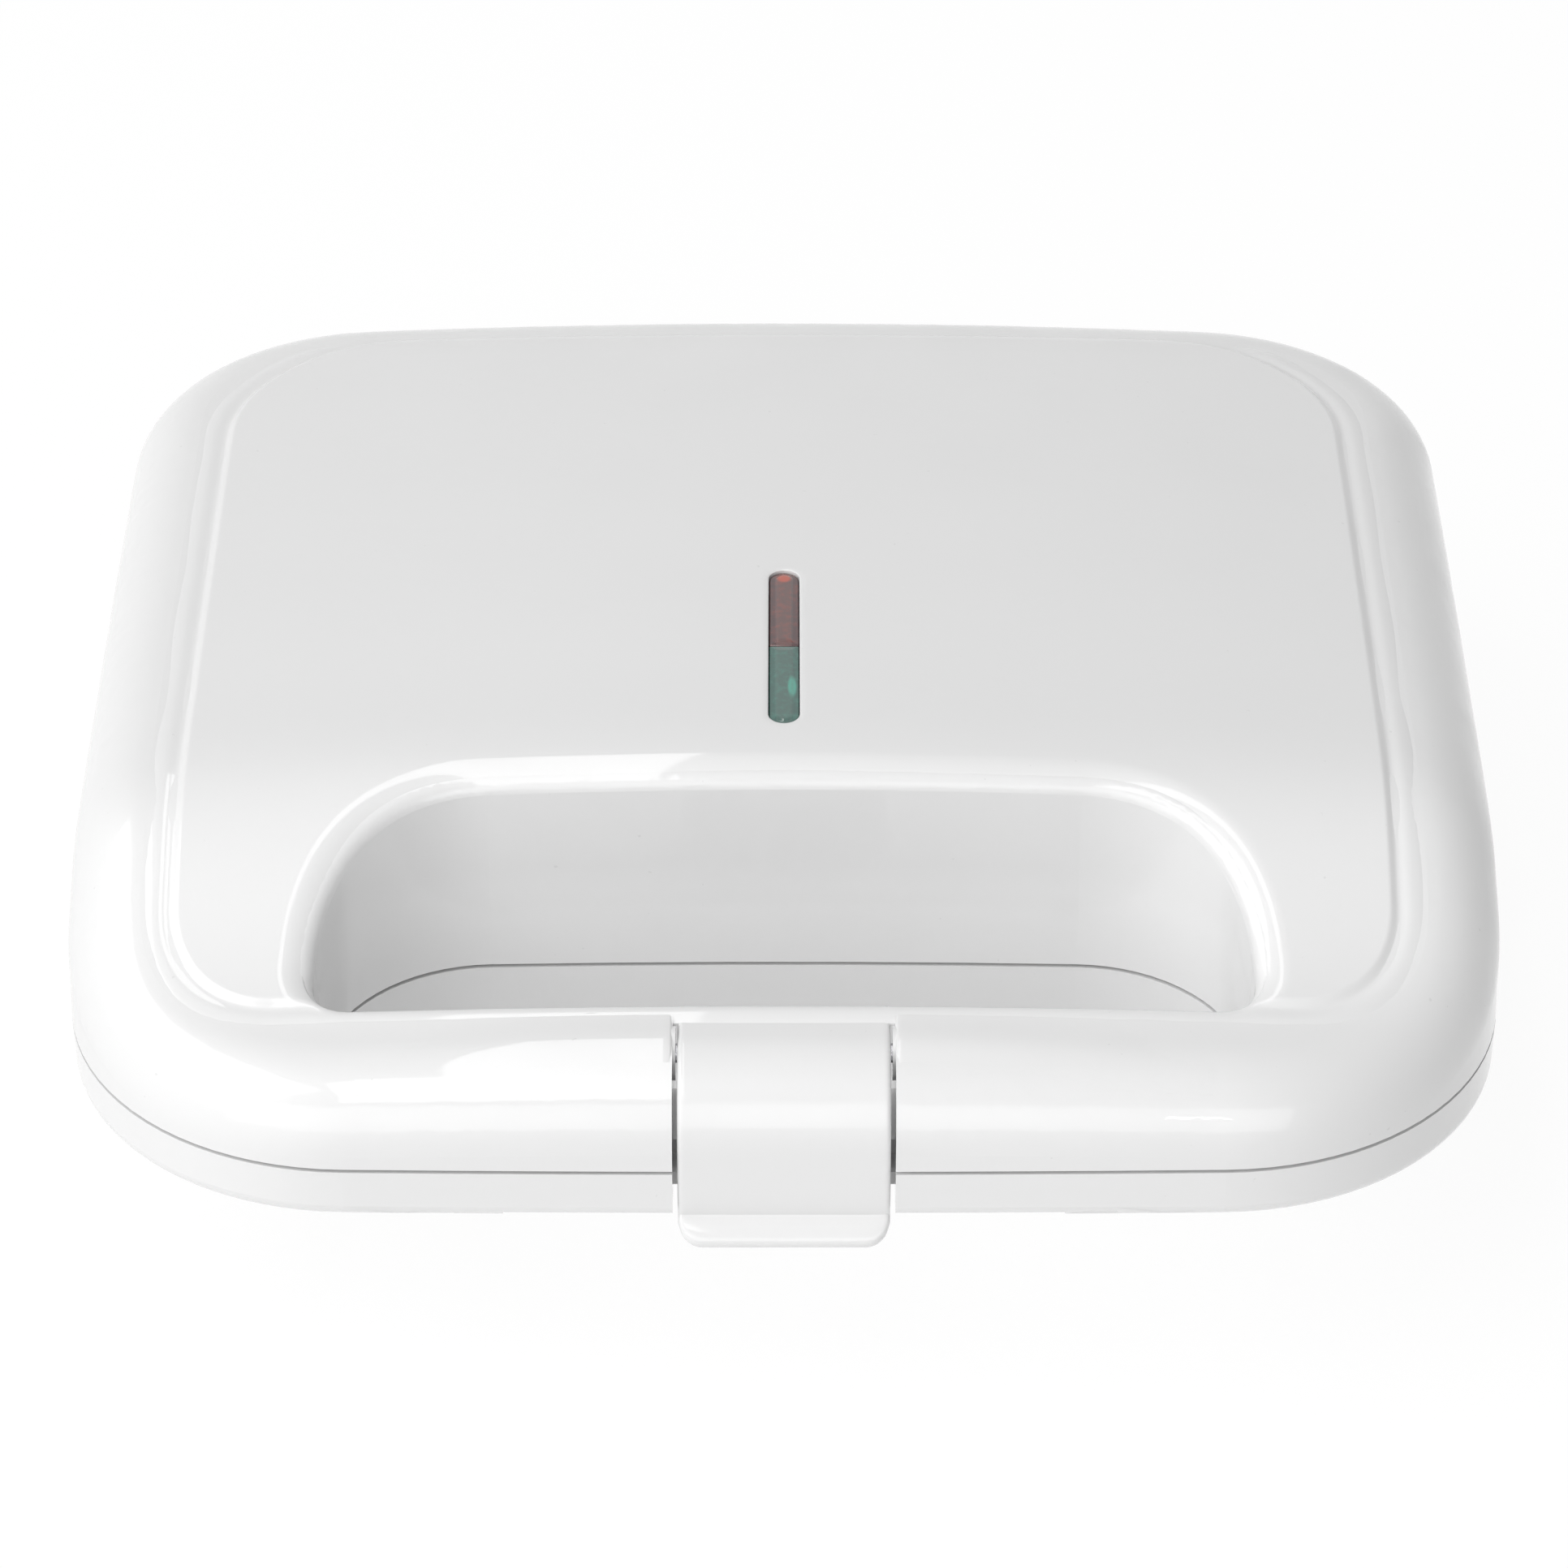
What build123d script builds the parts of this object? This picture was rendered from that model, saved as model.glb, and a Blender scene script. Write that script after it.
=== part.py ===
from build123d import *
from math import cos, radians, sin, tan
import os

os.makedirs("parts", exist_ok=True)

# Sandwich maker, in millimetres. The handle and latch are at -Y, the hinge at +Y,
# and the feet stand on z = 0. Depths called "from front" run back from the front seam.

# Overall form of the two housings
width = 225.0
housing_depth = 208.0
foot_height = 5.0
base_height = 37.0
lid_height = 36.8
seam_half = 0.3
wall = 2.5
draft = 1.0
front_corner = 46.0
rear_corner = 40.0
front_bow = 1.5
rear_bow = 2.0
shoulder_radius = 13.0
crown_radius = 2000.0
crown_angle = 5.0

# Handle, its slope up to the lid and the opening for the fingers
handle_depth = 22.0
handle_height = 17.0
slope_length = 33.0
band_depth = 9.0
band_edge = 2.6
recess_half_width = 72.5
recess_depth = 54.7
recess_corner = 26.0
recess_bow = 1.5
recess_draft = 2.5
recess_rim = 2.6
recess_near_corner = 5.0
handle_relief_half = 43.0
handle_relief = 1.4

# Raised field on the lid and the slot for the two lenses
panel_inset = 11.8
panel_raise = 0.8
panel_corner = 38.0
panel_from_handle = 6.0
lens_width = 4.8
lens_length = 44.0
lens_from_front = 69.0
lens_clearance = 0.12
lens_sink = 0.35
lens_thickness = 3.4
lens_flange = 1.6

# Lower bowl behind the handle
belly_inset = 3.0
belly_setback = 0.6
belly_taper = 17.0
belly_corner = 30.0
belly_edge = 7.0
vent_width = 3.0
vent_length = 26.0
vent_pitch = 9.0
vent_count = 7
foot_radius = 8.0
foot_seat = 1.5
foot_clearance = 0.1
foot_x = 76.0
foot_front = 30.0
foot_rear = 32.0

# Cooking plates, each with two pockets split by a diagonal ridge
plate_width = 208.0
plate_depth = 140.0
plate_corner = 24.0
plate_flange = 3.0
plate_skin = 2.4
plate_clearance = 0.5
plate_behind_recess = 5.5
pocket_width = 80.0
pocket_length = 106.0
pocket_depth = 9.0
pocket_taper = 32.0
pocket_corner = 9.0
pocket_spacing = 92.0
pocket_forward = 4.0
ridge_width = 4.0

# Heaters, shields and the screws that hold the plates
heater_radius = 3.25
heater_bend = 22.0
heater_pin_radius = 1.2
heater_pin_length = 9.0
heater_gap = 0.3
shield_thickness = 0.8
shield_margin = 13.0
shield_gap = 1.6
post_radius = 4.0
post_x = 94.0
post_margin = 10.5
screw_radius = 1.75
screw_length = 11.0
screw_head_radius = 3.4
screw_head_height = 1.9
screw_clearance = 0.05

# Hinge behind the housings
hinge_offset = 5.5
barrel_radius = 5.2
hinge_pin_radius = 2.5
running_clearance = 0.05
hinge_x = 68.0
lid_barrel_length = 16.0
base_barrel_length = 8.0
barrel_gap = 0.4
pin_head_radius = 3.9
pin_head_height = 1.5
hinge_web_reach = 5.0
hinge_web_height = 6.0

# Latch clip in the middle of the handle
latch_half = 16.25
latch_gap = 0.75
latch_plate = 2.6
latch_cheek = 2.2
latch_pin_from_front = 14.0
latch_pin_above_seam = 12.4
latch_pin_radius = 1.5
latch_boss_radius = 3.3
latch_pad_radius = 4.2
latch_pad_height = 0.45
latch_pin_seat = 6.0
latch_arc = 13.0
latch_top = 16.3
latch_lip_reach = 2.4
latch_lip_drop = 13.4
latch_lip_corner = 3.8
hook_radius = 20.5
hook_clearance = 0.3
hook_from_front = 6.2
catch_from_front = 4.2
catch_top = 3.0
catch_slot_depth = 9.0
slot_edge = 1.2

# Electrical pieces
lamp_radius = 2.4
lamp_length = 15.0
holder_width = 9.6
holder_wall = 1.6
holder_length = 47.6
holder_height = 9.0
ear_length = 7.0
ear_thickness = 2.0
ear_drop = 4.0
holder_post_radius = 3.0
thermostat_radius = 6.4
thermostat_height = 9.0
fuse_radius = 2.0
fuse_length = 16.0
block_length = 34.0
block_width = 17.0
block_height = 13.0
gland_radius = 6.0
gland_bore = 3.6
gland_flange = 8.5
gland_above_floor = 14.0
gland_boss = 9.0
gland_face_inset = 5.5
gland_x = 55.0
lead_radius = 1.3

# Places worked out from the sizes above
hinge_overhang = hinge_offset + barrel_radius
overall_depth = latch_lip_reach + housing_depth + hinge_overhang
front_y = latch_lip_reach - overall_depth / 2
rear_y = front_y + housing_depth
seam_z = foot_height + base_height
lid_seam = seam_z + seam_half
base_seam = seam_z - seam_half
recess_rear = front_y + recess_depth
plate_y = recess_rear + plate_behind_recess + plate_depth / 2
pocket_y = plate_y - pocket_forward
lens_y = front_y + lens_from_front + lens_length / 2
hinge_y = rear_y + hinge_offset
latch_pin_y = front_y + latch_pin_from_front
latch_pin_z = seam_z + latch_pin_above_seam
slot_half = latch_half + latch_gap
post_y = plate_depth / 2 - post_margin
screw_places = [(x, plate_y + y) for x in (-post_x, post_x) for y in (-post_y, post_y)]
crown_axis = Axis((0, 0, -crown_radius), (0, 1, 0))


def outline(level, inset):
    """Plan shape of the housings, drawn at a height and inset all round."""
    side = width / 2 - inset
    front = front_y + inset
    rear = rear_y - inset
    with BuildSketch(Plane.XY.offset(level)) as plan:
        with BuildLine():
            ThreePointArc((-side, front + front_bow), (0, front), (side, front + front_bow))
            Line((side, front + front_bow), (side, rear - rear_bow))
            ThreePointArc((side, rear - rear_bow), (0, rear), (-side, rear - rear_bow))
            Line((-side, rear - rear_bow), (-side, front + front_bow))
        make_face()
        fillet(plan.vertices().group_by(Axis.Y)[0], front_corner - inset)
        fillet(plan.vertices().group_by(Axis.Y)[-1], rear_corner - inset)
    return plan.sketch


def space_above_lid(lift):
    """Solid of all that lies above the crowned top line, lifted or sunk by an amount."""
    middle = handle_depth + slope_length / 2
    line = [
        (-14, handle_height - 2.7),
        (4, handle_height - 1.0),
        (handle_depth - 3, handle_height),
        (middle, (handle_height + lid_height) / 2 - 1.0),
        (handle_depth + slope_length, lid_height - 2.6),
        (handle_depth + slope_length + 12, lid_height - 1.1),
        (0.45 * housing_depth, lid_height - 0.4),
        (0.66 * housing_depth, lid_height),
        (0.90 * housing_depth, lid_height - 1.0),
        (housing_depth + 14, lid_height - 3.2),
    ]
    points = [(front_y + back, seam_z + up + lift) for back, up in line]
    sky = seam_z + 2 * lid_height
    with BuildSketch(Plane.YZ) as profile:
        with BuildLine():
            Spline(*points)
            Polyline(points[-1], (points[-1][0], sky), (points[0][0], sky), points[0])
        make_face()
    return profile.sketch.rotate(crown_axis, -crown_angle)


def lid_form(inset, lift):
    """Outer form of the lid, or the same form inset and sunk for its inside."""
    with BuildPart() as form:
        extrude(outline(lid_seam, inset), amount=2 * lid_height - 5, taper=draft)
        revolve(space_above_lid(lift), axis=crown_axis, revolution_arc=2 * crown_angle,
                mode=Mode.SUBTRACT)
        top = form.faces().filter_by(GeomType.REVOLUTION).sort_by(Axis.Z)[-1]
        fillet(top.edges(), shoulder_radius - inset)
    return form.part


def recess_plan(level, grow):
    """D-shaped opening behind the handle."""
    side = recess_half_width + grow
    near = front_y + handle_depth - grow
    far = recess_rear + grow
    with BuildSketch(Plane.XY.offset(level)) as plan:
        with BuildLine():
            Line((-side, near), (side, near))
            Line((side, near), (side - 3, far - recess_bow))
            ThreePointArc((side - 3, far - recess_bow), (0, far), (-side + 3, far - recess_bow))
            Line((-side + 3, far - recess_bow), (-side, near))
        make_face()
        fillet(plan.vertices().group_by(Axis.Y)[-1], recess_corner + grow)
        fillet(plan.vertices().group_by(Axis.Y)[0], recess_near_corner + grow)
    return plan.sketch


def latch_slot(half, level, height, back):
    """Box of the slot that the latch clip swings in."""
    with BuildPart() as slot:
        with BuildSketch(Plane.XY.offset(level)):
            with Locations((0, front_y - 10 + (back + 10) / 2)):
                Rectangle(2 * half, back + 10)
        extrude(amount=height)
    return slot.part


def plate_opening(level, height):
    """Opening in a housing's rim that the cooking plate fills."""
    with BuildPart() as opening:
        with BuildSketch(Plane.XY.offset(level)):
            with Locations((0, plate_y)):
                RectangleRounded(plate_width + 2 * plate_clearance,
                                 plate_depth + 2 * plate_clearance,
                                 plate_corner + plate_clearance)
        extrude(amount=height)
    return opening.part


def barrel(centre_x, length, web_down):
    """Hinge barrel with the web that joins it to a housing's rear wall."""
    turn = -1 if web_down else 1
    low = min(0, turn * hinge_web_height)
    with BuildPart() as knuckle:
        with BuildSketch(Plane.YZ.offset(centre_x - length / 2)):
            with Locations((hinge_y, seam_z)):
                Circle(barrel_radius)
            with BuildLine():
                foot = rear_y - hinge_web_reach
                edge = seam_z + turn * seam_half
                Polyline((foot, edge), (hinge_y, edge),
                         (hinge_y + barrel_radius * cos(radians(35)),
                          seam_z + turn * barrel_radius * sin(radians(35))),
                         (foot, seam_z + turn * hinge_web_height), (foot, edge))
            make_face()
            with Locations((hinge_y, seam_z)):
                Circle(hinge_pin_radius + running_clearance, mode=Mode.SUBTRACT)
        extrude(amount=length)
    return knuckle.part


def open_lid_form(lift):
    """Lid form with the finger opening cut through and its rim rounded."""
    with BuildPart() as form:
        add(lid_form(0, lift))
        extrude(recess_plan(lid_seam - 1, 0), amount=2 * lid_height, taper=-recess_draft,
                mode=Mode.SUBTRACT)
        rim = [edge for edge in form.edges()
               if edge.center().Z > seam_z + handle_height - 3
               and edge.bounding_box().max.Y < recess_rear + 8
               and edge.bounding_box().min.Y > front_y + handle_depth - 1
               and abs(edge.center().X) < recess_half_width + 6
               and abs((edge @ 1 - edge @ 0).Z) < 0.9 * edge.length]
        fillet(rim, recess_rim)
    return form.part


def box_behind_recess(level, height):
    """Room behind the finger opening, where the housings are hollow."""
    near = recess_rear + wall
    with BuildPart() as room:
        with BuildSketch(Plane.XY.offset(level)):
            with Locations((0, (near + rear_y) / 2)):
                Rectangle(width, rear_y - near)
        extrude(amount=height)
    return room.part


def pillars(level, height, places, radius):
    """Eight-sided pillars that a housing's cavity leaves standing."""
    with BuildPart() as standing:
        with BuildSketch(Plane.XY.offset(level)):
            with Locations(*places):
                RegularPolygon(radius, 8)
        extrude(amount=height)
    return standing.part


def screw_holes(level, height):
    """Pilot holes for the plate screws."""
    with BuildPart() as holes:
        with BuildSketch(Plane.XY.offset(level)):
            with Locations(*screw_places):
                Circle(screw_radius + screw_clearance)
        extrude(amount=height)
    return holes.part


def pill(level, height, grow):
    """Long faceted pill of the lens opening."""
    reach = lens_length / 2 - lens_width / 2
    with BuildPart() as shape:
        with BuildSketch(Plane.XY.offset(level)):
            with Locations((0, lens_y - reach), (0, lens_y + reach)):
                RegularPolygon(lens_width / 2 + grow, 24)
            make_hull()
        extrude(amount=height)
    return shape.part


def bar_across(half, radius):
    """Round bar along X at the latch pin's axis."""
    with BuildPart() as bar:
        with BuildSketch(Plane.YZ.offset(-half)):
            with Locations((latch_pin_y, latch_pin_z)):
                Circle(radius)
        extrude(amount=2 * half)
    return bar.part


# Upper housing: moulded shell with half the handle and the opening for the lenses
lens_bottom = seam_z + lid_height - 5.4
ear_places = [(0, lens_y + turn * (holder_length + ear_length) / 2) for turn in (-1, 1)]
with BuildPart() as lid_cavity:
    add(lid_form(wall, -wall))
    add(box_behind_recess(lid_seam + wall, 2 * lid_height), mode=Mode.INTERSECT)
    add(pillars(lid_seam + plate_flange, lid_height, screw_places, post_radius),
        mode=Mode.SUBTRACT)
    add(pillars(lens_bottom - ear_drop, lid_height, ear_places, holder_post_radius),
        mode=Mode.SUBTRACT)

with BuildPart() as upper_housing:
    add(open_lid_form(0))
    add(lid_cavity.part, mode=Mode.SUBTRACT)
    add(pill(lens_bottom, lid_height, lens_clearance), mode=Mode.SUBTRACT)
    add(plate_opening(lid_seam, wall), mode=Mode.SUBTRACT)
    add(screw_holes(lid_seam + plate_flange, screw_length), mode=Mode.SUBTRACT)
    add(latch_slot(slot_half, seam_z - 1, 2 * lid_height, handle_depth + 1.5),
        mode=Mode.SUBTRACT)
    with BuildSketch(Plane.YZ.offset(-slot_half - latch_pin_seat)):
        with Locations((latch_pin_y, latch_pin_z)):
            Circle(latch_pad_radius)
    extrude(amount=latch_pin_seat + latch_pad_height)
    with BuildSketch(Plane.YZ.offset(slot_half - latch_pad_height)):
        with Locations((latch_pin_y, latch_pin_z)):
            Circle(latch_pad_radius)
    extrude(amount=latch_pin_seat + latch_pad_height)
    add(bar_across(slot_half + latch_pin_seat, latch_pin_radius + running_clearance),
        mode=Mode.SUBTRACT)
    add(barrel(-hinge_x, lid_barrel_length, False))
    add(barrel(hinge_x, lid_barrel_length, False))
upper_housing.part.label = "upper_housing"
export_step(upper_housing.part, "parts/upper_housing.step")


def band_form(inset, depth):
    """Rim band of the lower housing, or the same band inset for its inside."""
    with BuildPart() as band:
        extrude(outline(base_seam, inset), amount=depth, dir=(0, 0, -1), taper=draft)
        fillet(band.faces().sort_by(Axis.Z)[0].edges(), band_edge)
    return band.part


def bowl_form(inset, level):
    """Bowl below the rim band, tapered down to a level."""
    top = base_seam - band_depth / 2
    near = recess_rear + belly_setback + inset
    far = rear_y - belly_inset - inset
    with BuildPart() as bowl:
        with BuildSketch(Plane.XY.offset(top)):
            with Locations((0, (near + far) / 2)):
                RectangleRounded(width - 2 * belly_inset - 2 * inset, far - near,
                                 belly_corner - inset)
        extrude(amount=top - level, dir=(0, 0, -1), taper=belly_taper)
        fillet(bowl.faces().sort_by(Axis.Z)[0].edges(), belly_edge - inset)
    return bowl.part


def foot_places():
    """Centres of the four feet."""
    near = recess_rear + foot_front
    far = rear_y - foot_rear
    return [(-foot_x, near), (foot_x, near), (-foot_x, far), (foot_x, far)]


# Lower housing: rim band with the other half of the handle, and the bowl behind it
gland_z = foot_height + gland_above_floor
gland_face = rear_y - gland_face_inset
gland_plane = Plane(origin=(gland_x, gland_face, gland_z), x_dir=(-1, 0, 0), z_dir=(0, 1, 0))
with BuildPart() as base_cavity:
    add(band_form(wall, band_depth - wall))
    add(box_behind_recess(foot_height, base_height), mode=Mode.INTERSECT)
    add(bowl_form(wall, foot_height + wall))
    extrude(outline(base_seam, 0), amount=wall, dir=(0, 0, -1), mode=Mode.SUBTRACT)
    add(pillars(foot_height, base_seam - plate_flange - foot_height, screw_places, post_radius),
        mode=Mode.SUBTRACT)

with BuildPart() as catch:
    with BuildSketch(Plane.YZ.offset(-slot_half - 1)):
        with Locations((front_y + (catch_from_front + catch_slot_depth + 1) / 2,
                        seam_z - catch_top - 3.25)):
            Rectangle(catch_slot_depth + 1 - catch_from_front, 6.5)
        with Locations((latch_pin_y, latch_pin_z)):
            Circle(hook_radius - hook_clearance, mode=Mode.INTERSECT)
    extrude(amount=2 * slot_half + 2)

with BuildPart() as lower_housing:
    add(band_form(0, band_depth))
    extrude(recess_plan(base_seam + 1, 0), amount=band_depth + 3, dir=(0, 0, -1),
            mode=Mode.SUBTRACT)
    with BuildSketch(Plane.XY.offset(seam_z - band_depth - 2)):
        with Locations((0, front_y + handle_depth / 2 - 2)):
            Rectangle(2 * handle_relief_half, handle_depth + 6)
    extrude(amount=2 + handle_relief - seam_half, mode=Mode.SUBTRACT)
    add(bowl_form(0, foot_height))
    add(base_cavity.part, mode=Mode.SUBTRACT)
    add(plate_opening(base_seam - wall, wall), mode=Mode.SUBTRACT)
    add(screw_holes(base_seam - plate_flange - screw_length, screw_length), mode=Mode.SUBTRACT)
    add(latch_slot(slot_half, foot_height, base_height + 1, catch_slot_depth),
        mode=Mode.SUBTRACT)
    add(catch.part)
    with BuildSketch(Plane.XY.offset(foot_height + 1)):
        with Locations(*foot_places()):
            Circle(foot_radius + wall)
    extrude(amount=wall)
    with BuildSketch(Plane.XY.offset(foot_height)):
        with Locations(*foot_places()):
            Circle(foot_radius + foot_clearance)
    extrude(amount=foot_seat, mode=Mode.SUBTRACT)
    with BuildSketch(Plane.XY.offset(foot_height - 1)):
        with Locations((0, plate_y - 6)):
            with GridLocations(vent_pitch, 0, vent_count, 1):
                SlotOverall(vent_length, vent_width, rotation=90)
    extrude(amount=wall + 2, mode=Mode.SUBTRACT)
    with BuildSketch(gland_plane):
        Circle(gland_flange + 1)
    extrude(amount=-gland_boss)
    with BuildSketch(gland_plane):
        Circle(gland_radius + running_clearance)
    extrude(amount=-2 * gland_boss, mode=Mode.SUBTRACT)
    for side in (-1, 1):
        reach = lid_barrel_length / 2 + barrel_gap + base_barrel_length / 2
        add(barrel(side * hinge_x - reach, base_barrel_length, True))
        add(barrel(side * hinge_x + reach, base_barrel_length, True))
lower_housing.part.label = "lower_housing"
export_step(lower_housing.part, "parts/lower_housing.step")


def pocket_plan(level, grow):
    """Plan of the two sandwich pockets, each split in two by its diagonal ridge."""
    ridge = ridge_width - 2 * grow
    with BuildSketch(Plane.XY.offset(level)) as plan:
        with Locations((-pocket_spacing / 2, pocket_y), (pocket_spacing / 2, pocket_y)):
            Rectangle(pocket_width + 2 * grow, pocket_length + 2 * grow)
        if ridge > 0:
            for side in (-1, 1):
                tilt = side * Vector(pocket_width, pocket_length).get_angle(Vector(1, 0))
                with Locations(Location((side * pocket_spacing / 2, pocket_y), tilt)):
                    Rectangle(2 * pocket_length, ridge, mode=Mode.SUBTRACT)
        fillet(plan.vertices(), pocket_corner + grow)
    return plan.sketch


def cooking_plate(name):
    """Die-cast plate with its cooking face up at the seam, written under a name."""
    face = base_seam
    with BuildPart() as plate:
        with BuildSketch(Plane.XY.offset(face)):
            with Locations((0, plate_y)):
                RectangleRounded(plate_width, plate_depth, plate_corner)
        extrude(amount=-plate_flange)
        extrude(pocket_plan(face, plate_skin), amount=pocket_depth + plate_skin,
                dir=(0, 0, -1), taper=pocket_taper)
        extrude(pocket_plan(face, 0), amount=pocket_depth, dir=(0, 0, -1), taper=pocket_taper,
                mode=Mode.SUBTRACT)
        with Locations((0, plate_y, face)):
            with GridLocations(2 * post_x, 2 * post_y, 2, 2):
                CounterSinkHole(screw_radius + screw_clearance,
                                screw_head_radius + screw_clearance, plate_flange + 1)
    return plate.part


def heater():
    """Tubular heater in a U below the pockets, with a connecting pin at each end."""
    depth = pocket_depth + plate_skin + heater_gap + heater_radius
    level = base_seam - depth
    near = pocket_y - pocket_length / 2 + 18
    far = pocket_y + pocket_length / 2 - 22
    side = pocket_spacing / 2
    with BuildPart() as tube:
        with BuildLine(Plane.XY.offset(level)) as route:
            FilletPolyline((-side, far), (-side, near), (side, near), (side, far),
                           radius=heater_bend)
        with BuildSketch(Plane(origin=(-side, far, level), z_dir=(0, -1, 0))):
            Circle(heater_radius)
        sweep(path=route.wires()[0])
        with BuildSketch(Plane(origin=(0, far, level), x_dir=(-1, 0, 0), z_dir=(0, 1, 0))):
            with Locations((-side, 0), (side, 0)):
                Circle(heater_pin_radius)
        extrude(amount=heater_pin_length)
    return tube.part


def shield():
    """Pressed tray that keeps the heater's heat off the housing."""
    inner = pocket_depth + plate_skin + heater_gap + 2 * heater_radius + shield_gap
    top = base_seam - plate_flange
    low = base_seam - inner - shield_thickness
    across = plate_width - 2 * shield_margin
    along = plate_depth - 2 * shield_margin
    with BuildPart() as tray:
        with BuildSketch(Plane.XY.offset(low)):
            with Locations((0, pocket_y)):
                RectangleRounded(across, along, plate_corner - shield_margin + 2)
        extrude(amount=top - low)
        with BuildSketch(Plane.XY.offset(low + shield_thickness)):
            with Locations((0, pocket_y)):
                RectangleRounded(across - 2 * shield_thickness, along - 2 * shield_thickness,
                                 plate_corner - shield_margin + 2 - shield_thickness)
        extrude(amount=top - low, mode=Mode.SUBTRACT)
    return tray.part


def plate_screws():
    """Four countersunk screws, flush with the lower plate's cooking face."""
    cone = screw_head_radius - screw_radius
    with BuildPart() as screws:
        with BuildSketch(Plane.XY.offset(base_seam - cone)):
            with Locations((0, plate_y)):
                with GridLocations(2 * post_x, 2 * post_y, 2, 2):
                    Circle(screw_radius)
        extrude(amount=cone - screw_length)
        with BuildSketch(Plane.XY.offset(base_seam)):
            with Locations((0, plate_y)):
                with GridLocations(2 * post_x, 2 * post_y, 2, 2):
                    Circle(screw_head_radius)
        extrude(amount=cone, dir=(0, 0, -1), taper=45)
    return screws.part


seam_plane = Plane.XY.offset(seam_z)
for name, form in (("cooking_plate", cooking_plate("plate")), ("heating_element", heater()),
                   ("heat_shield", shield()), ("plate_screws", plate_screws())):
    with BuildPart() as lower_copy:
        add(form)
    lower_copy.part.label = "lower_" + name
    export_step(lower_copy.part, "parts/lower_" + name + ".step")
    with BuildPart() as upper_copy:
        mirror(form, about=seam_plane, mode=Mode.ADD)
    upper_copy.part.label = "upper_" + name
    export_step(upper_copy.part, "parts/upper_" + name + ".step")
    print(name, form.is_valid, len(form.solids()), round(form.volume))

# Hinge pins, pressed into the lower housing's barrels
for side, name in ((-1, "left"), (1, "right")):
    half = lid_barrel_length / 2 + barrel_gap + base_barrel_length
    with BuildPart() as hinge_pin:
        with BuildSketch(Plane.YZ.offset(side * hinge_x - half)):
            with Locations((hinge_y, seam_z)):
                Circle(hinge_pin_radius)
        extrude(amount=2 * half)
        with BuildSketch(Plane.YZ.offset(side * (hinge_x + half))):
            with Locations((hinge_y, seam_z)):
                Circle(pin_head_radius)
        extrude(amount=side * pin_head_height)
    hinge_pin.part.label = "hinge_pin_" + name
    export_step(hinge_pin.part, "parts/hinge_pin_" + name + ".step")

# Latch clip: bent plate with cheeks, pivot boss, hook and a flared lip
def at(back, up):
    """Point of the latch's side view, from the front seam."""
    return (front_y + back, seam_z + up)


half_plate = latch_plate / 2
bend = latch_arc - half_plate
bend_y = latch_arc + 0.2
bend_z = latch_top - latch_arc
lip_y = -latch_lip_reach + half_plate
lip_z = -latch_lip_drop + half_plate
with BuildPart() as latch_clip:
    with BuildSketch(Plane.YZ.offset(-latch_half)):
        with BuildLine() as middle_line:
            Line(at(handle_depth - 0.9, latch_top - half_plate - 0.3),
                 at(bend_y, latch_top - half_plate))
            ThreePointArc(at(bend_y, latch_top - half_plate),
                          at(bend_y - bend * sin(radians(45)), bend_z + bend * cos(radians(45))),
                          at(bend_y - bend, bend_z))
            Polyline(at(bend_y - bend, bend_z), at(bend_y - bend, -5.0), at(bend_y - bend + 0.7, -9.0),
                     at(lip_y, lip_z))
        trace(line_width=latch_plate)
    extrude(amount=2 * latch_half)
    for start in (-latch_half, latch_half - latch_cheek):
        with BuildSketch(Plane.YZ.offset(start)):
            with BuildLine():
                Polyline(at(20.5, 14.8), at(13.2, 15.2), at(5.0, 11.2), at(1.6, 3.2), at(1.6, -4.8),
                         at(5.0, -2.0), at(8.5, 8.0), at(18.5, 10.5), close=True)
            make_face()
        extrude(amount=latch_cheek)
    add(bar_across(latch_half, latch_boss_radius))
    with BuildSketch(Plane.YZ.offset(-latch_half + 4)):
        with BuildLine():
            Polyline(at(1.6, -4.0), at(hook_from_front, -4.0), at(hook_from_front, -7.4),
                     at(2.6, -9.6), at(1.6, -9.0), close=True)
        make_face()
        with Locations((latch_pin_y, latch_pin_z)):
            Circle(hook_radius, mode=Mode.SUBTRACT)
    extrude(amount=2 * latch_half - 8)
    add(bar_across(latch_half + 1, latch_pin_radius + running_clearance), mode=Mode.SUBTRACT)
    with BuildSketch(Plane.XZ.offset(-front_y + 20)):
        with Locations((0, seam_z - latch_lip_drop + 20)):
            RectangleRounded(2 * latch_half, 40, latch_lip_corner)
    extrude(amount=-60, mode=Mode.INTERSECT)
latch_clip.part.label = "latch_clip"
export_step(latch_clip.part, "parts/latch_clip.step")
print("latch", latch_clip.part.is_valid, len(latch_clip.part.solids()), latch_clip.part.bounding_box())

with BuildPart() as latch_pin:
    add(bar_across(slot_half + latch_pin_seat - 0.3, latch_pin_radius))
latch_pin.part.label = "latch_pin"
export_step(latch_pin.part, "parts/latch_pin.step")

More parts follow.
